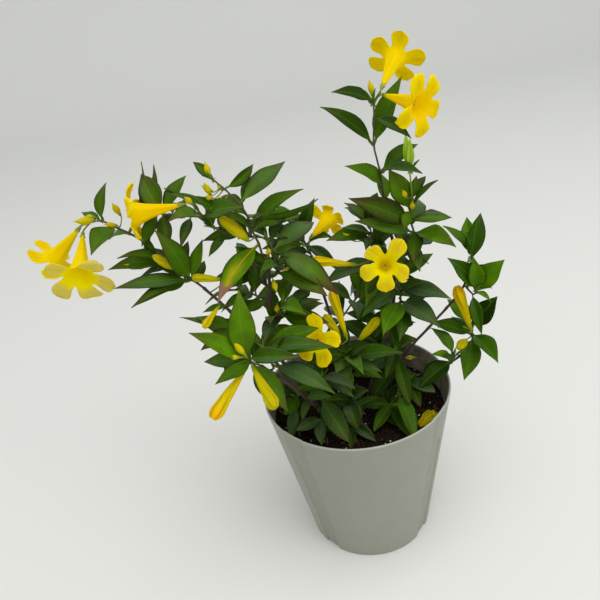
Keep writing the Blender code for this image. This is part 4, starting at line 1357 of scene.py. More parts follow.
@dataclass
class Pot:
    """The moulded pot: a tapered shell with four channels, a rounded lip, inner grip ridges and drain holes."""

    height: float = 112.0
    wall: float = 1.4
    ridges: int = 4
    ridge_pitch: float = 2.3
    ridge_height: float = 0.3
    drains: int = 4
    drain_ring: float = 26.0
    drain_radius: float = 4.0
    sharp: float = 50.0
    foot: Curve = ((0.0, 1.3), (0.12, 0.6), (0.45, 0.18), (1.2, 0.0))
    side: tuple[float, ...] = (4, 12, 20, 28, 36, 44, 52, 60, 68, 76, 81, 83, 84.5, 86, 87.5, 89, 92, 96, 101, 106,
                               109, 110.6)
    inner_side: tuple[float, ...] = (0.97, 0.93, 0.88, 0.84, 0.79, 0.6, 0.4, 0.2, 0.05)

    def profile(self) -> list[tuple[float, float, float, float]]:
        """The shell's rings, from under its foot over its lip to its floor.

        Returns:
            Each ring's height, inset from the outer wall, and how much inner wall and lip it is.
        """
        top, wall = self.height, self.wall
        rows = [(z, inset, 0.0, 0.0) for z, inset in self.foot] + [(z, 0.0, 0.0, 0.0) for z in self.side]
        rows += [(top - 0.8, -0.02, 0.0, 0.3), (top - 0.25, 0.12, 0.0, 1.0), (top, 0.45, 0.0, 1.0),
                 (top, wall - 0.45, 0.0, 1.0), (top - 0.25, wall - 0.12, 0.2, 0.9), (top - 0.9, wall, 0.7, 0.2)]
        for i in range(self.ridges * 4 + 1):
            z = top - 1.6 - i * self.ridge_pitch / 4
            rows.append((z, wall + self.ridge_height * 0.5 * (1 - math.cos(math.pi * i / 2)), 1.0, 0.0))
        low = rows[-1][0]
        rows += [(low * share, wall, 1.0, 0.0) for share in self.inner_side]
        rows += [(wall + up, wall + inset, 1.0, 0.0) for up, inset in ((0.5, 0.2), (0.1, 0.8), (0.0, 1.6))]
        return rows

    def angles(self) -> list[float]:
        """The angles of the wall's corner lines, closer together at the channels.

        Returns:
            The angles, in degrees.
        """
        found, angle = [], 0.0
        while angle < 360.0:
            found.append(angle)
            angle += 0.6 if channel_share(angle) + channel_share(angle + 2.0) > 0 else 2.4
        return found

    def build(self) -> None:
        """Lofts the shell, drills it and dresses it."""
        shell, angles, profile = Surface(), self.angles(), self.profile()
        for z, inset, inner, lip in profile:
            for angle in angles:
                place = round_pot(wall_radius(z, angle) - inset, math.radians(angle), z)
                # `sunk` tells the plastic where to paint the channels' shade.
                shell.point(place, inner=inner, lip=lip, sunk=channel_share(angle))
        count, rows = len(angles), len(profile)
        shell.bands(rows, count)
        for row, z in ((0, 0.0), (rows - 1, self.wall)):
            shell.point(metres((0, 0, z)), inner=float(row > 0), lip=0.0, sunk=0.0)
            shell.fan(row * count, count, row == 0)
        pot = shell.made("pot_shell")
        for i in range(self.drains):
            hole = pot.modifiers.new("Drain", "BOOLEAN")
            hole.object = self.drill(f"drain_drill_{i}", math.radians(45 + 90 * i))
        pot = made_plain(pot)
        pot.data.set_sharp_from_angle(angle=math.radians(self.sharp))
        pot.data.materials.clear()
        pot.data.materials.append(PotPlastic().material())
        deliver(pot, Slot.PLASTIC, "pot")

    def drill(self, name: str, turn: float) -> Object:
        """The shape that cuts one drain hole.

        Args:
            name: Its name.
            turn: Its angle from +X, in radians.

        Returns:
            The shape.
        """
        cutter, work, radius = pattern(name, Surface()), bmesh.new(), self.drain_radius * MM
        place = metres((self.drain_ring * math.cos(turn), self.drain_ring * math.sin(turn), 0))
        bmesh.ops.create_cone(work, cap_ends=True, segments=32, radius1=radius, radius2=radius, depth=8 * MM,
                              matrix=Matrix.Translation(place))
        work.to_mesh(cutter.data)
        work.free()
        return cutter


@dataclass(frozen=True)
class Litter:
    """One kind of loose bit on the soil: its shape, how many lie on a square metre, and how large they are."""

    name: str
    shape: Point
    shape_seed: int
    density: float
    sizes: tuple[float, float]
    seed: int
    finish: PottingSoil | Lump


LITTER = (
    Litter("soil_crumbs", (1.0, 0.8, 0.6), 3, 260000.0, (0.35, 1.25), 3,
           PottingSoil("soil_crumb", (0.0075, 0.0050, 0.0028), (0.090, 0.055, 0.030))),
    Litter("soil_perlite", (1.0, 0.8, 0.6), 3, 10000.0, (0.45, 1.15), 5,
           Lump("perlite", (0.26, 0.23, 0.19), (0.55, 0.52, 0.47), 0.8)),
    Litter("soil_bark_chips", (2.6, 0.9, 0.45), 7, 14000.0, (0.5, 1.6), 8,
           Lump("bark_chip", (0.030, 0.011, 0.006), (0.120, 0.040, 0.018), 0.75)),
)


@dataclass
class SoilBed:
    """Moist peat under a low uneven mound, with crumbs, perlite and bark chips lying on it."""

    gap: float = 1.4 + 0.2
    rim: float = 93.8
    rings: int = 42
    sides: int = 168
    mound: Curve = ((0.0, 98.0), (0.5, 97.3), (0.85, 95.5), (1.0, 93.8))
    rough: Curve = ((0.11, 0.9), (0.31, 0.5), (0.8, 0.25))
    below: tuple[float, ...] = (88.0, 60.0, 30.0, 1.7)

    def height(self, share: float, angle: float) -> float:
        """The mound's height in millimetres.

        Args:
            share: How far out it is, of 1.
            angle: The angle from the pot's front, in radians.

        Returns:
            The height.
        """
        spot = Vector((share * 54 * math.sin(angle), -share * 54 * math.cos(angle), 0.0))
        rough = sum(noise.noise(spot * scale) * size for scale, size in self.rough)
        return curve_through(self.mound, share) + rough * min(1.0, 1.4 - share * 0.4)

    def ring(self, surface: Surface, z: float, share: float = 1.0) -> int:
        """Adds a ring of points, on the mound's top when it is the rim's height or further in.

        Args:
            surface: Takes the points.
            z: The height at which the pot's inner wall is measured.
            share: How far out towards that wall it is.

        Returns:
            The first point's number.
        """
        first = len(surface.points)
        for i in range(self.sides):
            angle = TURN * i / self.sides
            radius = share * (wall_radius(z, math.degrees(angle)) - self.gap)
            surface.point(round_pot(radius, angle, self.height(share, angle) if z == self.rim else z))
        return first

    def top(self) -> Surface:
        """The top: rings of points round a middle point.

        Returns:
            Its surface.
        """
        surface = Surface([metres((0, 0, self.height(0.0, 0.0)))])
        surface.faces = [(0, 1 + i, 1 + (i + 1) % self.sides) for i in range(self.sides)]
        low = self.ring(surface, self.rim, 1 / self.rings)
        for ring in range(2, self.rings + 1):
            high = self.ring(surface, self.rim, ring / self.rings)
            surface.band(high, low, self.sides)
            low = high
        return surface

    def build(self) -> None:
        """Builds the plug and what lies on it."""
        plug = self.top()
        high = len(plug.points) - self.sides
        for z in self.below:
            low = self.ring(plug, z)
            plug.band(low, high, self.sides)
            high = low
        plug.faces.append(tuple(reversed(range(high, high + self.sides))))
        deliver(plug.made("soil_bed", PottingSoil().material()), Slot.SOIL, "soil")
        for kind in LITTER:
            low, high = kind.sizes
            deliver(self.top().grown(kind.name, crumbs_tree(), Crumb=self.crumb(kind), Density=kind.density,
                                     Smallest=low, Largest=high, Seed=kind.seed, Finish=kind.finish.material()),
                    Slot.SOIL)

    def crumb(self, kind: Litter) -> Object:
        """A knobbly pattern for one kind of bit, about 2 mm across.

        Args:
            kind: Says how it is stretched.

        Returns:
            The pattern.
        """
        bit, work = pattern(kind.name + "_pattern", Surface()), bmesh.new()
        bmesh.ops.create_icosphere(work, subdivisions=1, radius=1.0)
        for vert in work.verts:
            push = 1 + 0.45 * noise.noise(vert.co * 1.7 + Vector((kind.shape_seed, 0, 0)))
            vert.co = Vector([x * s * push * MM for x, s in zip(vert.co, kind.shape)])
        work.to_mesh(bit.data)
        work.free()
        return bit


# Stems and twigs.


@dataclass
class Skeleton:
    """Every centre line of the plant, and where things start on it."""

    step: float = 2.0
    first_leaf: float = 2.5
    paths: dict[str, list[Vector]] = field(default_factory=dict)

    def __post_init__(self) -> None:
        """Traces the stems first, then the sprays from their carriers."""
        for stem in STEMS:
            self.paths[stem.name] = smooth_path([metres(p) for p in stem.points], self.step * MM)
        waiting = list(SPRAYS)
        while waiting:
            spray = waiting.pop(0)
            points = [metres(p) for p in spray.points]
            if spray.carrier in self.paths:
                points.insert(0, nearest_on(self.paths[spray.carrier], points[0]))
            elif spray.carrier != "soil":
                waiting.append(spray)
                continue
            self.paths[spray.name] = smooth_path(points, self.step * MM)

    def leaf_base(self, spray: Spray, leaf: Leaf) -> Vector:
        """Where a leaf leaves its twig.

        Args:
            spray: The twig.
            leaf: The leaf.

        Returns:
            The place.
        """
        if leaf.point > 0:
            return metres(spray.points[leaf.point])
        start, after = metres(spray.points[0]), metres(spray.points[1])
        return start + (after - start).normalized() * self.first_leaf * MM

    def foot_on(self, point: Vector) -> Vector:
        """The nearest place on any centre line."""
        return min((nearest_on(path, point) for path in self.paths.values()), key=lambda p: (p - point).length)


@dataclass
class Strand:
    """One stalk: its points, its radius at each in millimetres and its place between foot and tip colour."""

    points: list[Vector]
    radii: list[float]
    tints: list[float]


@dataclass
class Wood:
    """The woody stems, the twigs on them and the green stalks of flowers and buds."""

    skeleton: Skeleton
    joint_swell: float = 0.28
    joint_reach: float = 1.7
    wander: float = 0.22
    unevenness: float = 0.16
    twig: tuple[float, float] = (0.68, 0.40)
    stalks: list[Strand] = field(default_factory=list)

    def strand(self, path: list[Vector], foot: float, top: float, tip: float, joints: list[Vector],
               seed: int) -> Strand:
        """A stalk along a path that swells at its joints.

        Args:
            path: Its centre line.
            foot: Its radius where it starts, in millimetres.
            top: Its radius at its end.
            tip: Its colour's place at its end.
            joints: Where leaves or twigs leave it.
            seed: What makes its small wander its own.

        Returns:
            The stalk.
        """
        strand = Strand([], [], [])
        for i, point in enumerate(path):
            share = i / (len(path) - 1)
            near = min([(point - joint).length for joint in joints], default=1.0) / MM
            swell = 1 + self.joint_swell * hump(near, 0.0, self.joint_reach)
            drift = noise.noise_vector(point * 160 + Vector((seed, 0, 0))) * self.wander * MM
            strand.points.append(point + drift * math.sin(math.pi * share))
            strand.radii.append((foot + (top - foot) * share) * swell)
            strand.tints.append(tip * share)
        return strand

    def piece(self, name: str, strands: list[Strand], finish: Stalk,
              sides: int) -> Object:
        """Skins strands as one plain piece.

        Args:
            name: The piece's name.
            strands: The strands.
            finish: Their finish.
            sides: How many sides each has.

        Returns:
            The piece.
        """
        lines = Surface()
        for strand in strands:
            start = len(lines.points)
            lines.edges += [(start + i, start + i + 1) for i in range(len(strand.points) - 1)]
            for point, radius, tint in zip(strand.points, strand.radii, strand.tints):
                lines.point(point, thick=radius * MM, tint=tint)
        return lines.grown(name, stalks_tree(), Sides=sides, Unevenness=self.unevenness,
                           Finish=finish.material())

    def build(self) -> None:
        """Builds the stems, twigs and stalks."""
        bark = Stalk("stem_bark", (0.070, 0.042, 0.028), (0.046, 0.021, 0.016), (0.016, 0.009, 0.007), 0.62, 0.0003)
        shoot = Stalk("young_bark", (0.050, 0.022, 0.018), (0.085, 0.095, 0.026), (0.030, 0.014, 0.010), 0.5, 0.0002)
        green = Stalk("green_skin", (0.085, 0.060, 0.022), (0.24, 0.31, 0.015), (0.12, 0.15, 0.01), 0.45, 0.0001)
        stems, twigs = [], []
        for i, stem in enumerate(STEMS):
            joints = [metres(spray.points[0]) for spray in SPRAYS if spray.carrier == stem.name]
            joints += [metres(p) for p in stem.points[2:]]
            path = self.skeleton.paths[stem.name]
            stems.append(self.strand(path, stem.foot_radius, stem.top_radius, 1.0, joints, i))
        for i, spray in enumerate(SPRAYS):
            joints = [self.skeleton.leaf_base(spray, leaf) for leaf in spray.leaves]
            tip = 2.0 if spray.name == LIME_LEAVES[0] else 0.9
            twigs.append(self.strand(self.skeleton.paths[spray.name], *self.twig, tip, joints, 40 + i))
        names = [stem.name for stem in STEMS]
        deliver(self.piece("woody_stems", stems, bark, 14), Slot.BARK, *names)
        deliver(self.piece("young_twigs", twigs, shoot, 10), Slot.BARK)
        deliver(self.piece("flower_stalks", self.stalks, green, 8), Slot.LEAF)

    def add_stalk(self, foot: Vector, base: Vector, along: Vector, radius: float) -> None:
        """Adds a green stalk that leaves a stem and ends under a flower or bud.

        Args:
            foot: Where it leaves the stem.
            base: The flower's or bud's base.
            along: The way the flower or bud looks.
            radius: Its radius at its ends, in millimetres.
        """
        reach = (base - foot).length
        bend = base - along * reach * 0.35
        path = smooth_path([foot, foot.lerp(bend, 0.55), base - along * min(reach * 0.2, 1.5 * MM), base], MM)
        shares = [i / (len(path) - 1) for i in range(len(path))]
        radii = [radius * (1.0 - 0.25 * math.sin(math.pi * share)) for share in shares]
        self.stalks.append(Strand(path, radii, [0.15 + 0.85 * share for share in shares]))


# Leaves.


BLADE_OUTLINE = (
    (0.0, 0.095), (0.04, 0.085), (0.09, 0.10), (0.13, 0.24), (0.18, 0.46), (0.25, 0.71), (0.33, 0.90), (0.41, 0.99),
    (0.50, 1.0), (0.59, 0.93), (0.68, 0.79), (0.77, 0.59), (0.85, 0.38), (0.91, 0.22), (0.96, 0.10), (0.985, 0.045))
BASAL_OUTLINE = (
    (0.0, 0.08), (0.04, 0.08), (0.09, 0.12), (0.14, 0.36), (0.20, 0.62), (0.28, 0.82), (0.37, 0.95), (0.47, 1.0),
    (0.57, 0.99), (0.67, 0.92), (0.76, 0.80), (0.84, 0.63), (0.90, 0.46), (0.95, 0.29), (0.985, 0.13))
SEPAL_OUTLINE = ((0.0, 0.75), (0.15, 0.92), (0.35, 1.0), (0.55, 0.86), (0.75, 0.56), (0.9, 0.26))
BLADE_COLUMNS = (-1.0, -0.72, -0.38, -0.1, 0.1, 0.38, 0.72, 1.0)
RIB_COLUMNS = 0.2
UPPER_KEEL, UNDER_KEEL = 0.12, 1.1


def blade_pattern(name: str, outline: Curve, stalk_end: float) -> Object:
    """A unit blade: along X from 0 to 1, half width 1, a closed lens in section, with its own places stored on it.

    Args:
        name: The pattern's name.
        outline: Places along the blade against the half width there.
        stalk_end: Where its stalk ends.

    Returns:
        The pattern, whose `local` attribute repeats its points and whose `margin` is 1 at its edges.
    """
    blade, loop, last = Surface(), len(BLADE_COLUMNS) * 2 - 2, len(outline) - 1
    section = [(side, False) for side in BLADE_COLUMNS] + [(side, True) for side in BLADE_COLUMNS[-2:0:-1]]
    for along, half in outline:
        plump = 1.0 + 2.4 * clamped((stalk_end + 0.06 - along) / 0.06)
        for side, under in section:
            bulge, rib = 0.5 * (1 - side * side), abs(side) < RIB_COLUMNS
            height = -(bulge + UNDER_KEEL * rib) if under else bulge - UPPER_KEEL * rib
            place = Vector((along, side * half, height * plump))
            blade.point(place, local=place, margin=abs(side), under=float(under))
    tip = blade.point(Vector((1.0, 0.0, 0.0)), local=Vector((1.0, 0.0, 0.0)), margin=1.0, under=0.5)
    for low in range(0, last * loop, loop):
        steps = [(low + i, low + (i + 1) % loop) for i in range(loop)]
        blade.faces += [(here, here + loop, beside + loop, beside) for here, beside in steps]
    blade.faces += [(last * loop + i, tip, last * loop + (i + 1) % loop) for i in range(loop)]
    blade.faces.append(tuple(range(loop)))
    unit, turned = pattern(name, blade), bmesh.new()
    turned.from_mesh(unit.data)
    bmesh.ops.recalc_face_normals(turned, faces=turned.faces)
    turned.to_mesh(unit.data)
    turned.free()
    places = [(0.5 + 0.5 * point.y, point.x) for point in blade.points]
    flat = [x for corner in unit.data.loops for x in places[corner.vertex_index]]
    unit.data.uv_layers.new(name="blade").data.foreach_set("uv", flat)
    return unit


@dataclass
class BladeSet(Surface):
    """Blades that one piece holds: a point where each stands, with how it lies and how it is coloured."""

    def add(self, root: Vector, axis: Vector, face: Vector, size: Point, habit: Point, sway: Point,
            look: Point) -> None:
        """Adds one blade.

        Args:
            root: Where it starts.
            axis: The way it heads.
            face: The way its upper side looks.
            size: Its length, width and thickness in millimetres.
            habit: Its curl down, its fold along the midrib and the phase of its wavy margin.
            sway: Its twist, its bend to one side and the size of its waves.
            look: Its tone, how bronzed it is and how far it has turned.
        """
        self.point(root, root=root, axis=axis, side=face.cross(axis), face=face,
                   span=metres((size[0], 0.5 * size[1], size[2])), habit=Vector(habit), sway=Vector(sway),
                   tone=look[0], bronze=look[1], aged=look[2])


@dataclass(frozen=True)
class Bough:
    """Sprays whose leaves make one piece, with the filling leaves of each, and how they look on average."""

    name: str
    sprays: dict[str, int]
    tone: float
    bronze: float
    filling: tuple[float, float] = (15, 26)
    breadth: float = 0.36
    outline: Curve = BLADE_OUTLINE


BOUGHS = (
    Bough("leaves_top", {"top_spray": 0}, 0.40, 0.15),
    Bough("leaves_crown", {"crown_spray": 2, "heart_spray": 7}, 0.38, 0.60),
    Bough("leaves_left_crown",
          {"left_crown_spray": 1, "left_heart_spray": 7, "left_mid_spray": 7, "left_bud_spray": 2}, 0.48, 0.85),
    Bough("leaves_left_arm", {"left_arm_spray": 3, "left_tip_spray": 1, "left_low_spray": 3, "left_under_spray": 3,
                              "left_fold_spray": 3}, 0.46, 0.80),
    Bough("leaves_rosette", {"front_rosette": 1, "front_side_spray": 2}, 0.60, 0.55),
    Bough("leaves_middle", {"middle_spray": 6, "inner_right_spray": 6}, 0.45, 0.25),
    Bough("leaves_right", {"right_top_spray": 2, "right_mid_spray": 2, "right_low_spray": 1, "rim_spray": 1}, 0.52,
          0.05),
    Bough("leaves_low", {"low_front_spray": 1, "low_left_spray": 3, "low_middle_spray": 3, "low_right_spray": 3,
                         "low_side_spray": 2}, 0.13, 0.30, (15, 24), 0.50, BASAL_OUTLINE),
    Bough("leaves_back", {"back_top_spray": 8, "back_left_spray": 8, "back_right_spray": 8, "back_low_spray": 5},
          0.40, 0.20),
)


SOIL_CLEAR, LIP_CLEAR, BESIDE_CLEAR = 101.0, 117.0, 124.0
LIP_BAND, BESIDE = (48.0, 66.0), 60.0


@dataclass
class Foliage:
    """Every leaf, one piece for each bough, with small young leaves at the tips of its twigs."""

    skeleton: Skeleton
    thickness: float = 0.32
    stalk_end: float = 0.09
    young_leaves: int = 4
    clearance: float = 4.2
    sight: float = 6.5
    margin: float = 4.0
    tries: int = 14
    samples: tuple[float, ...] = (0.35, 0.5, 0.65, 0.8, 0.95)
    golden_turn: float = 2.4
    taken: list[Vector] = field(default_factory=list)
    shown: list[Vector] = field(default_factory=list)

    def build(self) -> None:
        """Grows the boughs one after another."""
        patterns = {outline: blade_pattern("leaf_pattern", outline, self.stalk_end)
                    for outline in (BLADE_OUTLINE, BASAL_OUTLINE)}
        finish = LeafSkin().material()
        for bloom in FLOWERS + BUDS:
            reach = direction(bloom.heading, bloom.rise) * bloom.length * MM
            self.shown += [metres(bloom.base) + reach * share for share in (0.1, 0.55, 1.0)]
        for spray in SPRAYS:
            for leaf in spray.leaves:
                axis = direction(leaf.heading, leaf.rise)
                self.taken += self.places(self.skeleton.leaf_base(spray, leaf), axis, leaf.length)
        for leaf in sum(LOOSE_LEAVES.values(), []):
            self.taken += self.places(metres(leaf.place), direction(leaf.heading, leaf.rise), leaf.length)
        sprays = {spray.name: spray for spray in SPRAYS}
        for bough in BOUGHS:
            chance, blades = random.Random(f"{SEED} {bough.name}"), BladeSet()
            for name, filling in bough.sprays.items():
                self.dress(blades, sprays[name], bough, chance)
                self.dress_tip(blades, self.skeleton.paths[name], bough, chance)
                self.dress_loose(blades, name, chance)
                self.fill(blades, name, filling, bough, chance)
            piece = blades.grown(bough.name, blades_tree(), Blade=patterns[bough.outline], Finish=finish)
            deliver(piece, Slot.LEAF, *bough.sprays)

    def habits(self, chance: random.Random) -> tuple[Point, Point]:
        """A leaf's own curl, fold, phase, twist, bend and waves."""
        return ((chance.uniform(-0.04, 0.15), chance.uniform(0.18, 0.55), chance.uniform(0, 6.28)),
                (chance.uniform(-0.45, 0.45), chance.uniform(-0.10, 0.10), chance.uniform(0.03, 0.09)))

    def dress(self, blades: BladeSet, spray: Spray, bough: Bough, chance: random.Random) -> None:
        """Adds a spray's leaves.

        Args:
            blades: Takes the leaves.
            spray: The spray.
            bough: Says how its leaves look.
            chance: Makes each leaf its own.
        """
        for leaf in spray.leaves:
            axis = direction(leaf.heading, leaf.rise)
            look = (clamped(chance.gauss(bough.tone, 0.30)), bough.bronze * chance.uniform(0.2, 1.4), 0.0)
            habit, sway = self.habits(chance)
            if (spray.name, leaf.length) == TURNING_LEAF:
                look, habit = (0.85, 0.0, 1.0), (0.10, 0.15, 0.0)
            size = (leaf.length, leaf.width * 1.06, self.thickness)
            if (spray.name, leaf.point) == LIME_LEAVES:
                look, size = (1.5, 0.0, 0.0), (leaf.length * 1.25, leaf.width * 1.1, self.thickness)
            face = facing(axis, leaf.roll + chance.uniform(-14, 14))
            blades.add(self.skeleton.leaf_base(spray, leaf), axis, face, size, habit, sway, look)

    def dress_tip(self, blades: BladeSet, path: list[Vector], bough: Bough, chance: random.Random) -> None:
        """Adds the young leaves at a twig's tip.

        Args:
            blades: Takes the leaves.
            path: The twig's centre line.
            bough: Says how they look.
            chance: Makes each leaf its own.
        """
        end = (path[-1] - path[-2]).normalized()
        level, start = end.orthogonal().normalized(), chance.uniform(0, 6.28)
        for i in range(self.young_leaves):
            out = Matrix.Rotation(start + self.golden_turn * i, 3, end) @ level
            lean = math.radians(14 + 9 * i)
            axis = (end * math.cos(lean) + out * math.sin(lean)).normalized()
            face = (end - axis * end.dot(axis)).normalized()
            length = chance.uniform(4.0, 6.5) + 1.4 * i
            blades.add(path[-1] - end * (0.3 + 0.5 * i) * MM, axis, face, (length, length * 0.26, 0.3),
                       (-0.12, 0.45, start), (0.1, 0.0, 0.07), (chance.uniform(0.7, 1.2), bough.bronze * 0.5, 0.0))

    def dress_loose(self, blades: BladeSet, name: str, chance: random.Random) -> None:
        """Adds the leaves that stand on a spray's twig beside its own.

        Args:
            blades: Takes the leaves.
            name: The spray's name.
            chance: Makes each leaf its own.
        """
        for leaf in LOOSE_LEAVES.get(name, []):
            axis, place = direction(leaf.heading, leaf.rise), metres(leaf.place)
            habit, sway = self.habits(chance)
            blades.add(self.skeleton.foot_on(place).lerp(place, 0.5), axis, facing(axis, chance.uniform(-12, 12)),
                       (leaf.length, leaf.width, self.thickness), habit, sway, (leaf.tone, leaf.bronze, 0.0))

    def fill(self, blades: BladeSet, name: str, count: int, bough: Bough, chance: random.Random) -> None:
        """Adds smaller leaves where a spray has room for them, away from what is already there.

        Args:
            blades: Takes the leaves.
            name: The spray's name.
            count: The most leaves to add.
            bough: Says how they look.
            chance: Places them.
        """
        path = self.skeleton.paths[name]
        for _ in range(count * self.tries):
            if count == 0:
                return
            i = chance.randrange(1, len(path) - 1)
            along = (path[i + 1] - path[i - 1]).normalized()
            out = Matrix.Rotation(chance.uniform(0, 6.28), 3, along) @ along.orthogonal().normalized()
            lean = math.radians(chance.uniform(35, 80))
            axis = (along * math.cos(lean) + out * math.sin(lean)).normalized()
            length = chance.uniform(*bough.filling)
            spots = self.places(path[i], axis, length)
            habit, sway = self.habits(chance)
            look = (chance.gauss(bough.tone - 0.05, 0.26), bough.bronze * chance.uniform(0.2, 1.2), 0.0)
            if self.free(spots):
                count -= 1
                self.taken += spots
                face = facing(axis, chance.uniform(-25, 25))
                size = (length, length * bough.breadth * chance.uniform(0.88, 1.12), self.thickness)
                blades.add(path[i], axis, face, size, habit, sway, look)

    def places(self, root: Vector, axis: Vector, length: float) -> list[Vector]:
        """Sample places along a leaf's outer two thirds."""
        return [root + axis * length * share * MM for share in self.samples]

    def free(self, spots: list[Vector]) -> bool:
        """Whether a leaf would be clear of other leaves, of the pot and of the view of a flower.

        Args:
            spots: Sample places along it.

        Returns:
            True when all of them are clear.
        """
        taken = kdtree.KDTree(len(self.taken))
        for i, place in enumerate(self.taken):
            taken.insert(place, i)
        taken.balance()
        room, sight = self.margin * MM, self.sight * MM
        for spot in spots:
            if near_pot(math.hypot(spot.x, spot.y) / MM, spot.z / MM):
                return False
            if not all(low + room < x < high - room for low, x, high in zip(CAD_LOW, spot, CAD_HIGH)):
                return False
            if taken.find(spot)[2] < self.clearance * MM:
                return False
            for target in self.shown:
                ray = (EYE - target).normalized()
                ahead = (spot - target).dot(ray)
                if ahead > -room and (spot - target - ray * ahead).length < sight:
                    return False
        return True


def near_pot(radius: float, height: float) -> bool:
    """Whether a place is in the pot, at its lip or beside it, in millimetres from its axis and its foot."""
    at_lip = height < LIP_CLEAR and LIP_BAND[0] < radius < LIP_BAND[1]
    return height < SOIL_CLEAR or at_lip or (height < BESIDE_CLEAR and radius > BESIDE)


# Flowers and buds.


TUBE_PROFILE = ((0.0, 0.55), (0.08, 0.85), (0.16, 1.3), (0.26, 1.75), (0.36, 2.15), (0.5, 2.75), (0.64, 3.4),
                (0.76, 4.1), (0.86, 4.85), (0.93, 5.5), (0.98, 6.2))
LOBE_WIDTHS = ((0.0, 3.66), (0.1, 3.5), (0.22, 3.75), (0.38, 4.3), (0.52, 4.65), (0.64, 4.6), (0.75, 4.25),
               (0.84, 3.6), (0.91, 2.8), (0.96, 1.95), (1.0, 0.55))
CLUB_PROFILE = ((0.0, 0.20), (0.15, 0.33), (0.3, 0.47), (0.45, 0.61), (0.6, 0.76), (0.72, 0.89), (0.80, 0.97),
                (0.85, 1.0), (0.90, 0.93), (0.95, 0.76), (1.0, 0.52))
OVAL_PROFILE = ((0.0, 0.36), (0.15, 0.62), (0.3, 0.84), (0.45, 0.97), (0.58, 1.0), (0.72, 0.93), (0.84, 0.76),
                (0.93, 0.52), (1.0, 0.16))
YOUNG_PROFILE = ((0, 0.34), (0.18, 0.66), (0.36, 0.96), (0.48, 1.0), (0.62, 0.80), (0.76, 0.46), (0.88, 0.20),
                 (1.0, 0.05))
PETAL_WIDTHS = ((0, 0.45), (0.3, 0.75), (0.6, 1.0), (0.85, 0.85), (1.0, 0.35))
LOBES = 5
HALF_LOBE = math.radians(180 / LOBES)
SHORT_BUD = 6.2


@dataclass(frozen=True)
class LobeHabit:
    """What sets one lobe apart: how far it cups, the phase of its waves, its width, tilt and notch."""

    cup: float
    phase: float
    width: float
    tilt: float
    notch: float


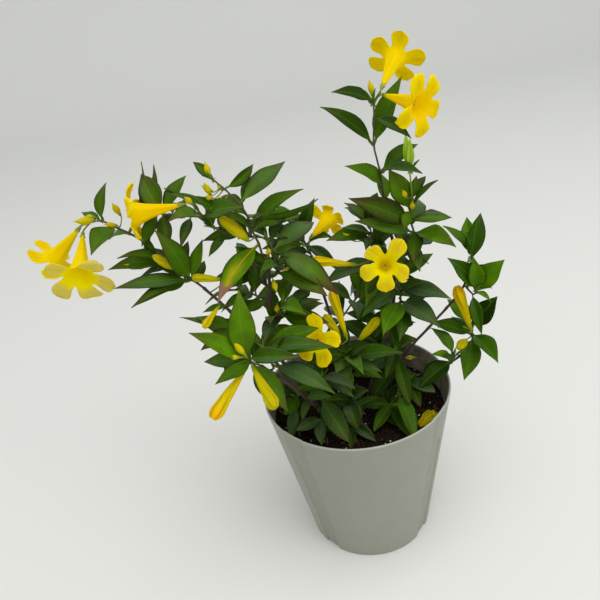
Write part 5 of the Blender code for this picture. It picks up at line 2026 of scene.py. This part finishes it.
@dataclass
class Blossom:
    """One open flower: a fluted trumpet and five spoon-shaped lobes as a thin skin with its own inside."""

    bloom: Bloom
    base: Vector
    columns: int = 14
    rows: int = 16
    tube_rows: int = 18
    tube_share: float = 0.65
    skin: float = 0.26

    def __post_init__(self) -> None:
        """Works out the flower's own directions."""
        self.along = direction(self.bloom.heading, self.bloom.rise)
        level = self.along.orthogonal().normalized()
        self.level = Matrix.Rotation(math.radians(self.bloom.turn), 3, self.along) @ level
        self.across = self.along.cross(self.level)

    def at(self, bearing: float, radius: float, aside: float, distance: float) -> Vector:
        """A point by bearing and radius, moved aside at a right angle, in millimetres.

        Args:
            bearing: The angle round the flower's axis, in radians.
            radius: How far out from the axis.
            aside: How far at a right angle to that.
            distance: How far along the axis.

        Returns:
            The point, in metres.
        """
        out = self.level * math.cos(bearing) + self.across * math.sin(bearing)
        beside = self.across * math.cos(bearing) - self.level * math.sin(bearing)
        return self.base + (out * radius + beside * aside + self.along * distance) * MM

    def lobe_point(self, lobe: int, share: float, u: float, habit: LobeHabit) -> Vector:
        """A point on a lobe.

        Args:
            lobe: Which of the five.
            share: 0 at the throat, 1 at the end.
            u: -1 to 1 across.
            habit: What sets the lobe apart.

        Returns:
            Where it is.
        """
        look, throat = self.bloom.look, TUBE_PROFILE[-1][1] * self.bloom.look.mouth
        half = curve_through(LOBE_WIDTHS, share) * (look.mouth + (look.width * habit.width - look.mouth) * share)
        reach = throat + (look.reaches[lobe] - throat) * share
        reach -= throat * (1 - math.cos(HALF_LOBE * u)) * (1 - share) ** 2 + 0.7 * u * u * share ** 5
        reach -= habit.notch * hump(u, 0.0, 0.28) * max(0.0, share - 0.85) / 0.15
        flare = 0.98 + 0.075 * math.sin(min(1.0, share * 1.6) * math.pi / 2) - look.reflex * share ** 2.2
        cup = -habit.cup * half * u * u * min(1.0, share * 3)
        ruffle = look.ruffle * math.sin(u * 3.1 + habit.phase + share * 4.0) * share * abs(u) ** 1.5
        crease = -0.55 * hump(u, 0.0, 0.15) * math.sin(math.pi * min(1.0, share * 1.05))
        pleats = -0.22 * hump(abs(u), 0.45, 0.10) * math.sin(math.pi * min(1.0, share * 1.1))
        bearing = HALF_LOBE * (1 + 2 * lobe) + math.radians(look.leans[lobe]) * min(1.0, share * 1.15)
        distance = self.bloom.length * flare + cup + ruffle + crease + pleats + habit.tilt * share * share
        return self.at(bearing, reach, half * math.sin(HALF_LOBE * u) / math.sin(HALF_LOBE), distance)

    def trumpet(self) -> Surface:
        """The fluted tube, closed at its foot.

        Returns:
            Its surface, whose last ring but the foot's point is its mouth.
        """
        tube, around, look = Surface(), LOBES * self.columns, self.bloom.look
        for row in range(self.tube_rows + 1):
            t = TUBE_PROFILE[-1][0] * row / self.tube_rows
            radius = curve_through(TUBE_PROFILE, t) * (1 + (look.mouth - 1) * t * t)
            for i in range(around):
                bearing = TURN * i / around
                flute = 1 + 0.07 * math.cos(LOBES * bearing - math.pi) * math.sin(math.pi * min(1, t * 1.02))
                tube.point(self.at(bearing, radius * flute, 0.0, self.bloom.length * t),
                           petal=Vector((i / self.columns, self.tube_share * t, look.pale)))
        tube.bands(self.tube_rows + 1, around)
        tube.point(self.base, petal=Vector((0.0, 0.0, look.pale)))
        tube.fan(0, around, True)
        return tube

    def build(self, finishes: list[Material]) -> None:
        """Lofts the trumpet, joins the lobes to it and gives the skin its thickness.

        Args:
            finishes: The materials outside and inside.
        """
        chance, columns = random.Random(f"{SEED} {self.bloom.name}"), self.columns
        flower, around = self.trumpet(), LOBES * columns
        for lobe in range(LOBES):
            habit = LobeHabit(chance.uniform(0.02, 0.18), chance.uniform(0, 6.28), chance.uniform(0.94, 1.06),
                              chance.uniform(-1.0, 1.0), chance.uniform(0.0, 0.8))
            below = [self.tube_rows * around + (lobe * columns + i) % around for i in range(columns + 1)]
            for row in range(1, self.rows + 1):
                share, above = 1 - (1 - row / self.rows) ** 1.5, []
                for i in range(columns + 1):
                    u = 2 * i / columns - 1
                    along = self.tube_share + (1 - self.tube_share) * share
                    petal = Vector((0.5 + 0.5 * u + lobe, along, self.bloom.look.pale))
                    above.append(flower.point(self.lobe_point(lobe, share, u, habit), petal=petal))
                flower.faces += [(below[i], below[i + 1], above[i + 1], above[i]) for i in range(columns)]
                below = above
        petals = flower.made(self.bloom.name + "_petals", *finishes)
        deliver(thicken(petals, self.skin, -1.0, 1), Slot.PETAL, self.bloom.name)


@dataclass
class ClosedBud:
    """One closed bud: a five-sided, slightly twisted club with folded lobes at its blunt end."""

    bloom: Bloom
    base: Vector
    flush: float
    rows: int = 30
    columns: int = 60
    sharp: float = 24.0

    def radius(self, share: float, bearing: float, folded: float, groove: float) -> float:
        """The bud's radius: a club when slender, an oval when short and plump.

        Args:
            share: How far along it is.
            bearing: How far round it is, of 1 for each lobe.
            folded: How far its lobes are folded there.
            groove: How deep in a groove between them it is.

        Returns:
            The radius, of 1.
        """
        plump = clamped((SHORT_BUD - self.bloom.length / self.bloom.radius) / 1.5)
        club, oval = curve_through(CLUB_PROFILE, share), curve_through(OVAL_PROFILE, share)
        corner = math.cos(math.pi / LOBES) / math.cos((bearing - 0.5) * TURN / LOBES)
        sides = 1.04 + (corner - 1) * (0.30 + 0.80 * folded)
        swell = 1 + 0.07 * folded * math.sin(TURN * bearing)
        return (club + (oval - club) * plump) * sides * (1 - 0.19 * groove) * swell

    def build(self, finish: Material) -> None:
        """Lofts the bud and its end.

        Args:
            finish: Its material.
        """
        along, bud = direction(self.bloom.heading, self.bloom.rise), Surface()
        level = along.orthogonal().normalized()
        across = along.cross(level)
        for row in range(self.rows + 1):
            share = 1 - (1 - row / self.rows) ** 1.25
            folded = clamped((share - 0.36) / 0.3)
            for i in range(self.columns):
                bearing = TURN * i / self.columns
                side = (bearing * LOBES / TURN + 0.45 * folded * share) % 1.0
                groove = hump(min(side, 1 - side), 0.06, 0.085) * folded
                out = level * math.cos(bearing) + across * math.sin(bearing)
                out = out * self.radius(share, side, folded, groove) * self.bloom.radius
                bud.point(self.base + (along * self.bloom.length * share + out) * MM,
                          bud=Vector((groove, share, self.flush)), turn=Vector((i / self.columns * LOBES, 0, 0)))
        bud.bands(self.rows + 1, self.columns)
        for row, share in ((0, 0.0), (self.rows, 1.004)):
            bud.point(self.base + along * self.bloom.length * share * MM,
                      bud=Vector((0.0, share, self.flush)), turn=Vector((0, 0, 0)))
            bud.fan(row * self.columns, self.columns, row == 0)
        obj = bud.made(self.bloom.name + "_lobes", finish)
        obj.data.set_sharp_from_angle(angle=math.radians(self.sharp))
        deliver(obj, Slot.BUD, self.bloom.name)


PETAL_OUTSIDE = PetalSkin("petal_outside", (0.74, 0.48, 0.0), (0.82, 0.60, 0.01), (0.66, 0.41, 0.0),
                          (0.70, 0.475, 0.0), (0.70, 0.43, 0.0), (0.54, 0.31, 0.0), 0.55, 0.14)
PETAL_INSIDE = PetalSkin("petal_inside", (0.79, 0.520, 0.0), (0.88, 0.67, 0.012), (0.60, 0.42, 0.0),
                         (0.68, 0.545, 0.0), (0.80, 0.46, 0.0), (0.58, 0.39, 0.0), 0.30, 0.20)
PETAL_FALLEN = PetalSkin("petal_fallen", (0.40, 0.34, 0.0), (0.46, 0.38, 0.01), (0.26, 0.18, 0.0),
                         (0.34, 0.25, 0.0), (0.34, 0.25, 0.0), (0.20, 0.13, 0.0), 0.8)
BUD_SKIN = BudSkin("bud_skin", (0.16, 0.25, 0.001), (0.57, 0.45, 0.0), (0.33, 0.23, 0.0), (0.72, 0.40, 0.0))
YOUNG_BUD_SKIN = BudSkin("young_bud_skin", (0.17, 0.23, 0.006), (0.44, 0.38, 0.002), (0.24, 0.17, 0.002),
                         (0.62, 0.25, 0.002))
SEPAL_SKIN = Stalk("sepal_skin", (0.22, 0.29, 0.010), (0.34, 0.38, 0.020), (0.14, 0.18, 0.01), 0.45, 0.0001)
THREAD = Stalk("thread", (0.78, 0.56, 0.01), (0.82, 0.66, 0.06), (0.70, 0.48, 0.01), 0.6, 0.00005)
POLLEN = Lump("pollen", (0.78, 0.60, 0.02), (0.88, 0.74, 0.08), 0.7)
ORANGE_BUDS = ("bud_front_left", "bud_right_large")


@dataclass
class Blooms:
    """Every flower and bud with its green cup, stamens and stalk."""

    skeleton: Skeleton
    wood: Wood
    sepal: Point = (3.6, 2.3, 0.35)
    anther: Point = (0.32, 0.32, 0.95)
    flower_stalk: float = 0.55
    bud_stalk: float = 0.5
    young_stalk: float = 0.38
    young_rows: int = 12
    young_columns: int = 20
    cups: BladeSet = field(default_factory=BladeSet)
    flowers: list[Blossom] = field(default_factory=list)

    def build(self) -> None:
        """Builds them all, then the cups and stamens that they share."""
        bud_skin = BUD_SKIN.material()
        petal_skins = [skin.material() for skin in (PETAL_OUTSIDE, PETAL_INSIDE)]
        for bloom in FLOWERS:
            self.flowers.append(Blossom(bloom, self.seat(bloom, 1.0, self.flower_stalk)))
            self.flowers[-1].build(petal_skins)
        for bloom in BUDS:
            flush = 0.9 if bloom.name in ORANGE_BUDS else 0.25
            flush -= 0.9 * (bloom.length < SHORT_BUD * bloom.radius)
            base = self.seat(bloom, 0.55 + 0.09 * bloom.radius, self.bud_stalk)
            ClosedBud(bloom, base, flush).build(bud_skin)
        self.young_buds()
        sepal, green = blade_pattern("sepal_pattern", SEPAL_OUTLINE, -0.1), SEPAL_SKIN.material()
        deliver(self.cups.grown("flower_cups", blades_tree(), Blade=sepal, Finish=green), Slot.LEAF)
        self.stamens()

    def seat(self, bloom: Bloom, cup: float, stalk: float) -> Vector:
        """Gives a flower or a bud its cup and its stalk.

        Args:
            bloom: The flower or bud.
            cup: Its cup's size.
            stalk: Its stalk's radius, in millimetres.

        Returns:
            Where its own shape starts.
        """
        along = direction(bloom.heading, bloom.rise)
        base = metres(bloom.base) + along * 0.3 * MM
        self.cup(base, along, cup, bloom.name)
        foot = nearest_on(self.skeleton.paths[bloom.carrier], metres(bloom.base))
        self.wood.add_stalk(foot, base, along, stalk)
        return base

    def cup(self, base: Vector, along: Vector, size: float, name: str) -> None:
        """Adds five overlapping sepals round a flower's foot.

        Args:
            base: The foot.
            along: The way the flower looks.
            size: The sepals' size, of 1.
            name: What makes them its own.
        """
        level, chance = along.orthogonal().normalized(), random.Random(f"{SEED} cup {name}")
        for i in range(LOBES):
            out = Matrix.Rotation(TURN * i / LOBES + 0.3, 3, along) @ level
            lean = math.radians(12 + chance.uniform(-2, 3))
            axis = (along * math.cos(lean) + out * math.sin(lean)).normalized()
            face = (along * math.sin(lean) - out * math.cos(lean)).normalized()
            length, width, thickness = self.sepal
            self.cups.add(base + (out * 0.35 - along * 0.6) * size * MM, axis, face,
                          (length * size, width * size, thickness), (0.06, 0.5, 0.0), (0.0, 0.0, 0.05),
                          (chance.uniform(0.2, 0.8), 0.0, 0.0))

    def young_bud(self) -> Surface:
        """A young bud of length 1 and radius 1, with five shallow grooves.

        Returns:
            Its surface.
        """
        shape, count, rows = Surface(), self.young_columns, self.young_rows
        for row in range(rows + 1):
            share = row / rows
            radius = curve_through(YOUNG_PROFILE, share)
            for i in range(count):
                bearing = TURN * i / count
                grooved = radius * (1 - 0.10 * hump((bearing * LOBES / TURN + share * 0.4) % 1, 0.5, 0.12))
                shape.point(Vector((math.cos(bearing) * grooved, math.sin(bearing) * grooved, share)),
                            bud=Vector((1 - grooved / radius, share, 0.0)))
        shape.bands(rows + 1, count)
        shape.faces += [tuple(reversed(range(count))), tuple(range(rows * count, (rows + 1) * count))]
        return shape

    def young_buds(self) -> None:
        """Builds the young buds, copies of one shape in different sizes, each on a thin stalk."""
        spots = Surface()
        for base, heading, rise, length in YOUNG_BUDS:
            along, width = direction(heading, rise), 0.85 + 0.075 * length
            start = metres(base) + along * 0.25 * length * MM
            spots.point(start, axis=along, size=metres((width, width, 0.75 * length)))
            self.wood.add_stalk(self.skeleton.foot_on(metres(base)), start, along, self.young_stalk)
            self.cup(start, along, 0.5 + 0.02 * length, f"{base}")
        shape, skin = pattern("young_bud_pattern", self.young_bud()), YOUNG_BUD_SKIN.material()
        deliver(spots.grown("young_buds", upright_tree(), Shape=shape, Finish=skin), Slot.BUD)

    def anther_shape(self) -> Surface:
        """A closed ball of radius 1 from five rings and two poles.

        Returns:
            Its surface.
        """
        ball, rings, count = Surface(), 5, 8
        for ring in range(1, rings + 1):
            height, radius = -math.cos(math.pi * ring / 6), math.sin(math.pi * ring / 6)
            for i in range(count):
                ball.point(Vector((radius * math.cos(TURN * i / count), radius * math.sin(TURN * i / count), height)))
        ball.bands(rings, count)
        for row, end in ((0, -1.0), (rings - 1, 1.0)):
            ball.point(Vector((0.0, 0.0, end)))
            ball.fan(row * count, count, row == 0)
        return ball

    def stamens(self) -> None:
        """Builds five anthers and a style in every throat."""
        spots, threads = Surface(), []
        for flower in self.flowers:
            for i in range(LOBES + 1):
                bearing, length = math.radians(72 * i + 10), flower.bloom.length
                radius, reach = (1.7, 0.78) if i < LOBES else (0.2, 0.84)
                tip = flower.at(bearing, radius, 0.0, length * reach)
                axis = (flower.along + (tip - flower.base).normalized() * 0.2).normalized()
                spots.point(tip, axis=axis, size=metres(self.anther))
                threads.append(Strand([flower.at(bearing, radius * 0.5, 0.0, length * 0.4), tip], [0.16, 0.14],
                                      [0.5, 1.0]))
        shape, pollen = pattern("anther_pattern", self.anther_shape()), POLLEN.material()
        deliver(spots.grown("anthers", upright_tree(), Shape=shape, Finish=pollen), Slot.PETAL)
        deliver(self.wood.piece("flower_filaments", threads, THREAD, 6), Slot.PETAL)


@dataclass
class FallenPetal:
    """A crumpled petal that lies on the soil."""

    columns: int = 14
    rows: int = 18
    skin: float = 0.3

    def build(self) -> None:
        """Builds it as a thin crumpled skin."""
        axis = direction(FALLEN_PETAL.heading, FALLEN_PETAL.rise)
        face, wide, petal = facing(axis, FALLEN_PETAL.roll), self.columns + 1, Surface()
        side = face.cross(axis)
        for row in range(self.rows + 1):
            share = row / self.rows
            half = 0.5 * FALLEN_PETAL.width * curve_through(PETAL_WIDTHS, share)
            for column in range(wide):
                u = 2 * column / self.columns - 1
                crumple = noise.noise(Vector((share * 5.1, u * 2.6, 4.0))) * 2.4 + 0.9 * u * u + 0.6 * share
                offset = axis * FALLEN_PETAL.length * share + side * half * u + face * (crumple + 0.4)
                petal.point(metres(FALLEN_PETAL_BASE) + offset * MM,
                            petal=Vector((0.5 * u, 0.72 + 0.25 * share, 0.0)))
        corners = [row * wide + i for row in range(self.rows) for i in range(self.columns)]
        petal.faces = [(low, low + 1, low + wide + 1, low + wide) for low in corners]
        skin = petal.made("fallen_petal_skin", PETAL_FALLEN.material())
        deliver(thicken(skin, self.skin, 0.0), Slot.PETAL, "fallen_petal")


# Stage.


@dataclass(frozen=True)
class Lamp:
    """A square soft light that looks at the plant."""

    name: str
    place: Point
    size: float
    power: float
    colour: Colour

    def build(self) -> None:
        """Hangs it."""
        lamp = bpy.data.lights.new(self.name, "AREA")
        lamp.size, lamp.energy, lamp.color = self.size, self.power, self.colour
        look = Vector((0, 0, 0.15)) - Vector(self.place)
        turn = look.to_track_quat("-Z", "Y").to_matrix().to_4x4()
        in_scene(self.name, lamp).matrix_world = Matrix.Translation(self.place) @ turn


@dataclass
class Stage:
    """The pale floor with its sweep, the soft lights and the camera, in metres."""

    floor: FloorPaint = FloorPaint()
    sky: Colour = (0.93, 0.95, 0.96)
    strength: float = 0.82
    lamps: tuple[Lamp, ...] = (Lamp("overhead", (0.15, -0.45, 1.55), 1.3, 12.0, (1.0, 0.985, 0.955)),
                               Lamp("fill", (1.1, -0.9, 0.9), 1.0, 4.4, (0.98, 0.99, 1.0)))
    front: float = -4.0
    back: float = 1.6
    sweep: float = 0.9
    top: float = 4.0
    half_width: float = 5.0
    camera_right: Point = (0.98700, -0.07601, -0.14161)
    camera_up: Point = (0.16072, 0.46679, 0.86964)

    def build(self) -> None:
        """Sets up all of it."""
        self.lay_floor()
        world = bpy.data.worlds.new("soft_sky")
        world.use_nodes = True
        background = world.node_tree.nodes["Background"]
        background.inputs["Color"].default_value = (*self.sky, 1.0)
        background.inputs["Strength"].default_value = self.strength
        bpy.context.scene.world = world
        for lamp in self.lamps:
            lamp.build()
        self.set_camera()
        bpy.context.scene.view_settings.view_transform = "Standard"

    def lay_floor(self) -> None:
        """Lays the floor, which sweeps up behind the pot."""
        rows = [(self.front, 0.0), (self.back, 0.0)]
        for degrees in range(6, 91, 6):
            angle = math.radians(degrees)
            rows.append((self.back + self.sweep * math.sin(angle), self.sweep - self.sweep * math.cos(angle)))
        rows.append((self.back + self.sweep, self.top))
        floor = Surface([Vector((x, y, z)) for y, z in rows for x in (-self.half_width, self.half_width)])
        floor.faces = [(2 * i, 2 * i + 1, 2 * i + 3, 2 * i + 2) for i in range(len(rows) - 1)]
        floor.made("floor", self.floor.material())

    def set_camera(self) -> None:
        """Stands the camera at the eye."""
        camera = bpy.data.cameras.new("camera")
        camera.lens, camera.sensor_width, camera.clip_start = 36.0, 36.0, 0.01
        right, up = Vector(self.camera_right), Vector(self.camera_up)
        turn = Matrix((right, up, right.cross(up))).transposed().to_4x4()
        eye = in_scene("camera", camera)
        eye.matrix_world = Matrix.Translation(EYE) @ turn
        bpy.context.scene.camera = eye


def main() -> None:
    """Builds the plant in its pot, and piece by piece."""
    logging.basicConfig(level=logging.INFO, format="%(name)s %(message)s")
    noise.seed_set(SEED)
    Stage().build()
    Pot().build()
    SoilBed().build()
    skeleton = Skeleton()
    wood = Wood(skeleton)
    Foliage(skeleton).build()
    Blooms(skeleton, wood).build()
    wood.build()
    FallenPetal().build()
    for obj in PATTERNS:
        bpy.data.objects.remove(obj)


if __name__ == "__main__":
    main()
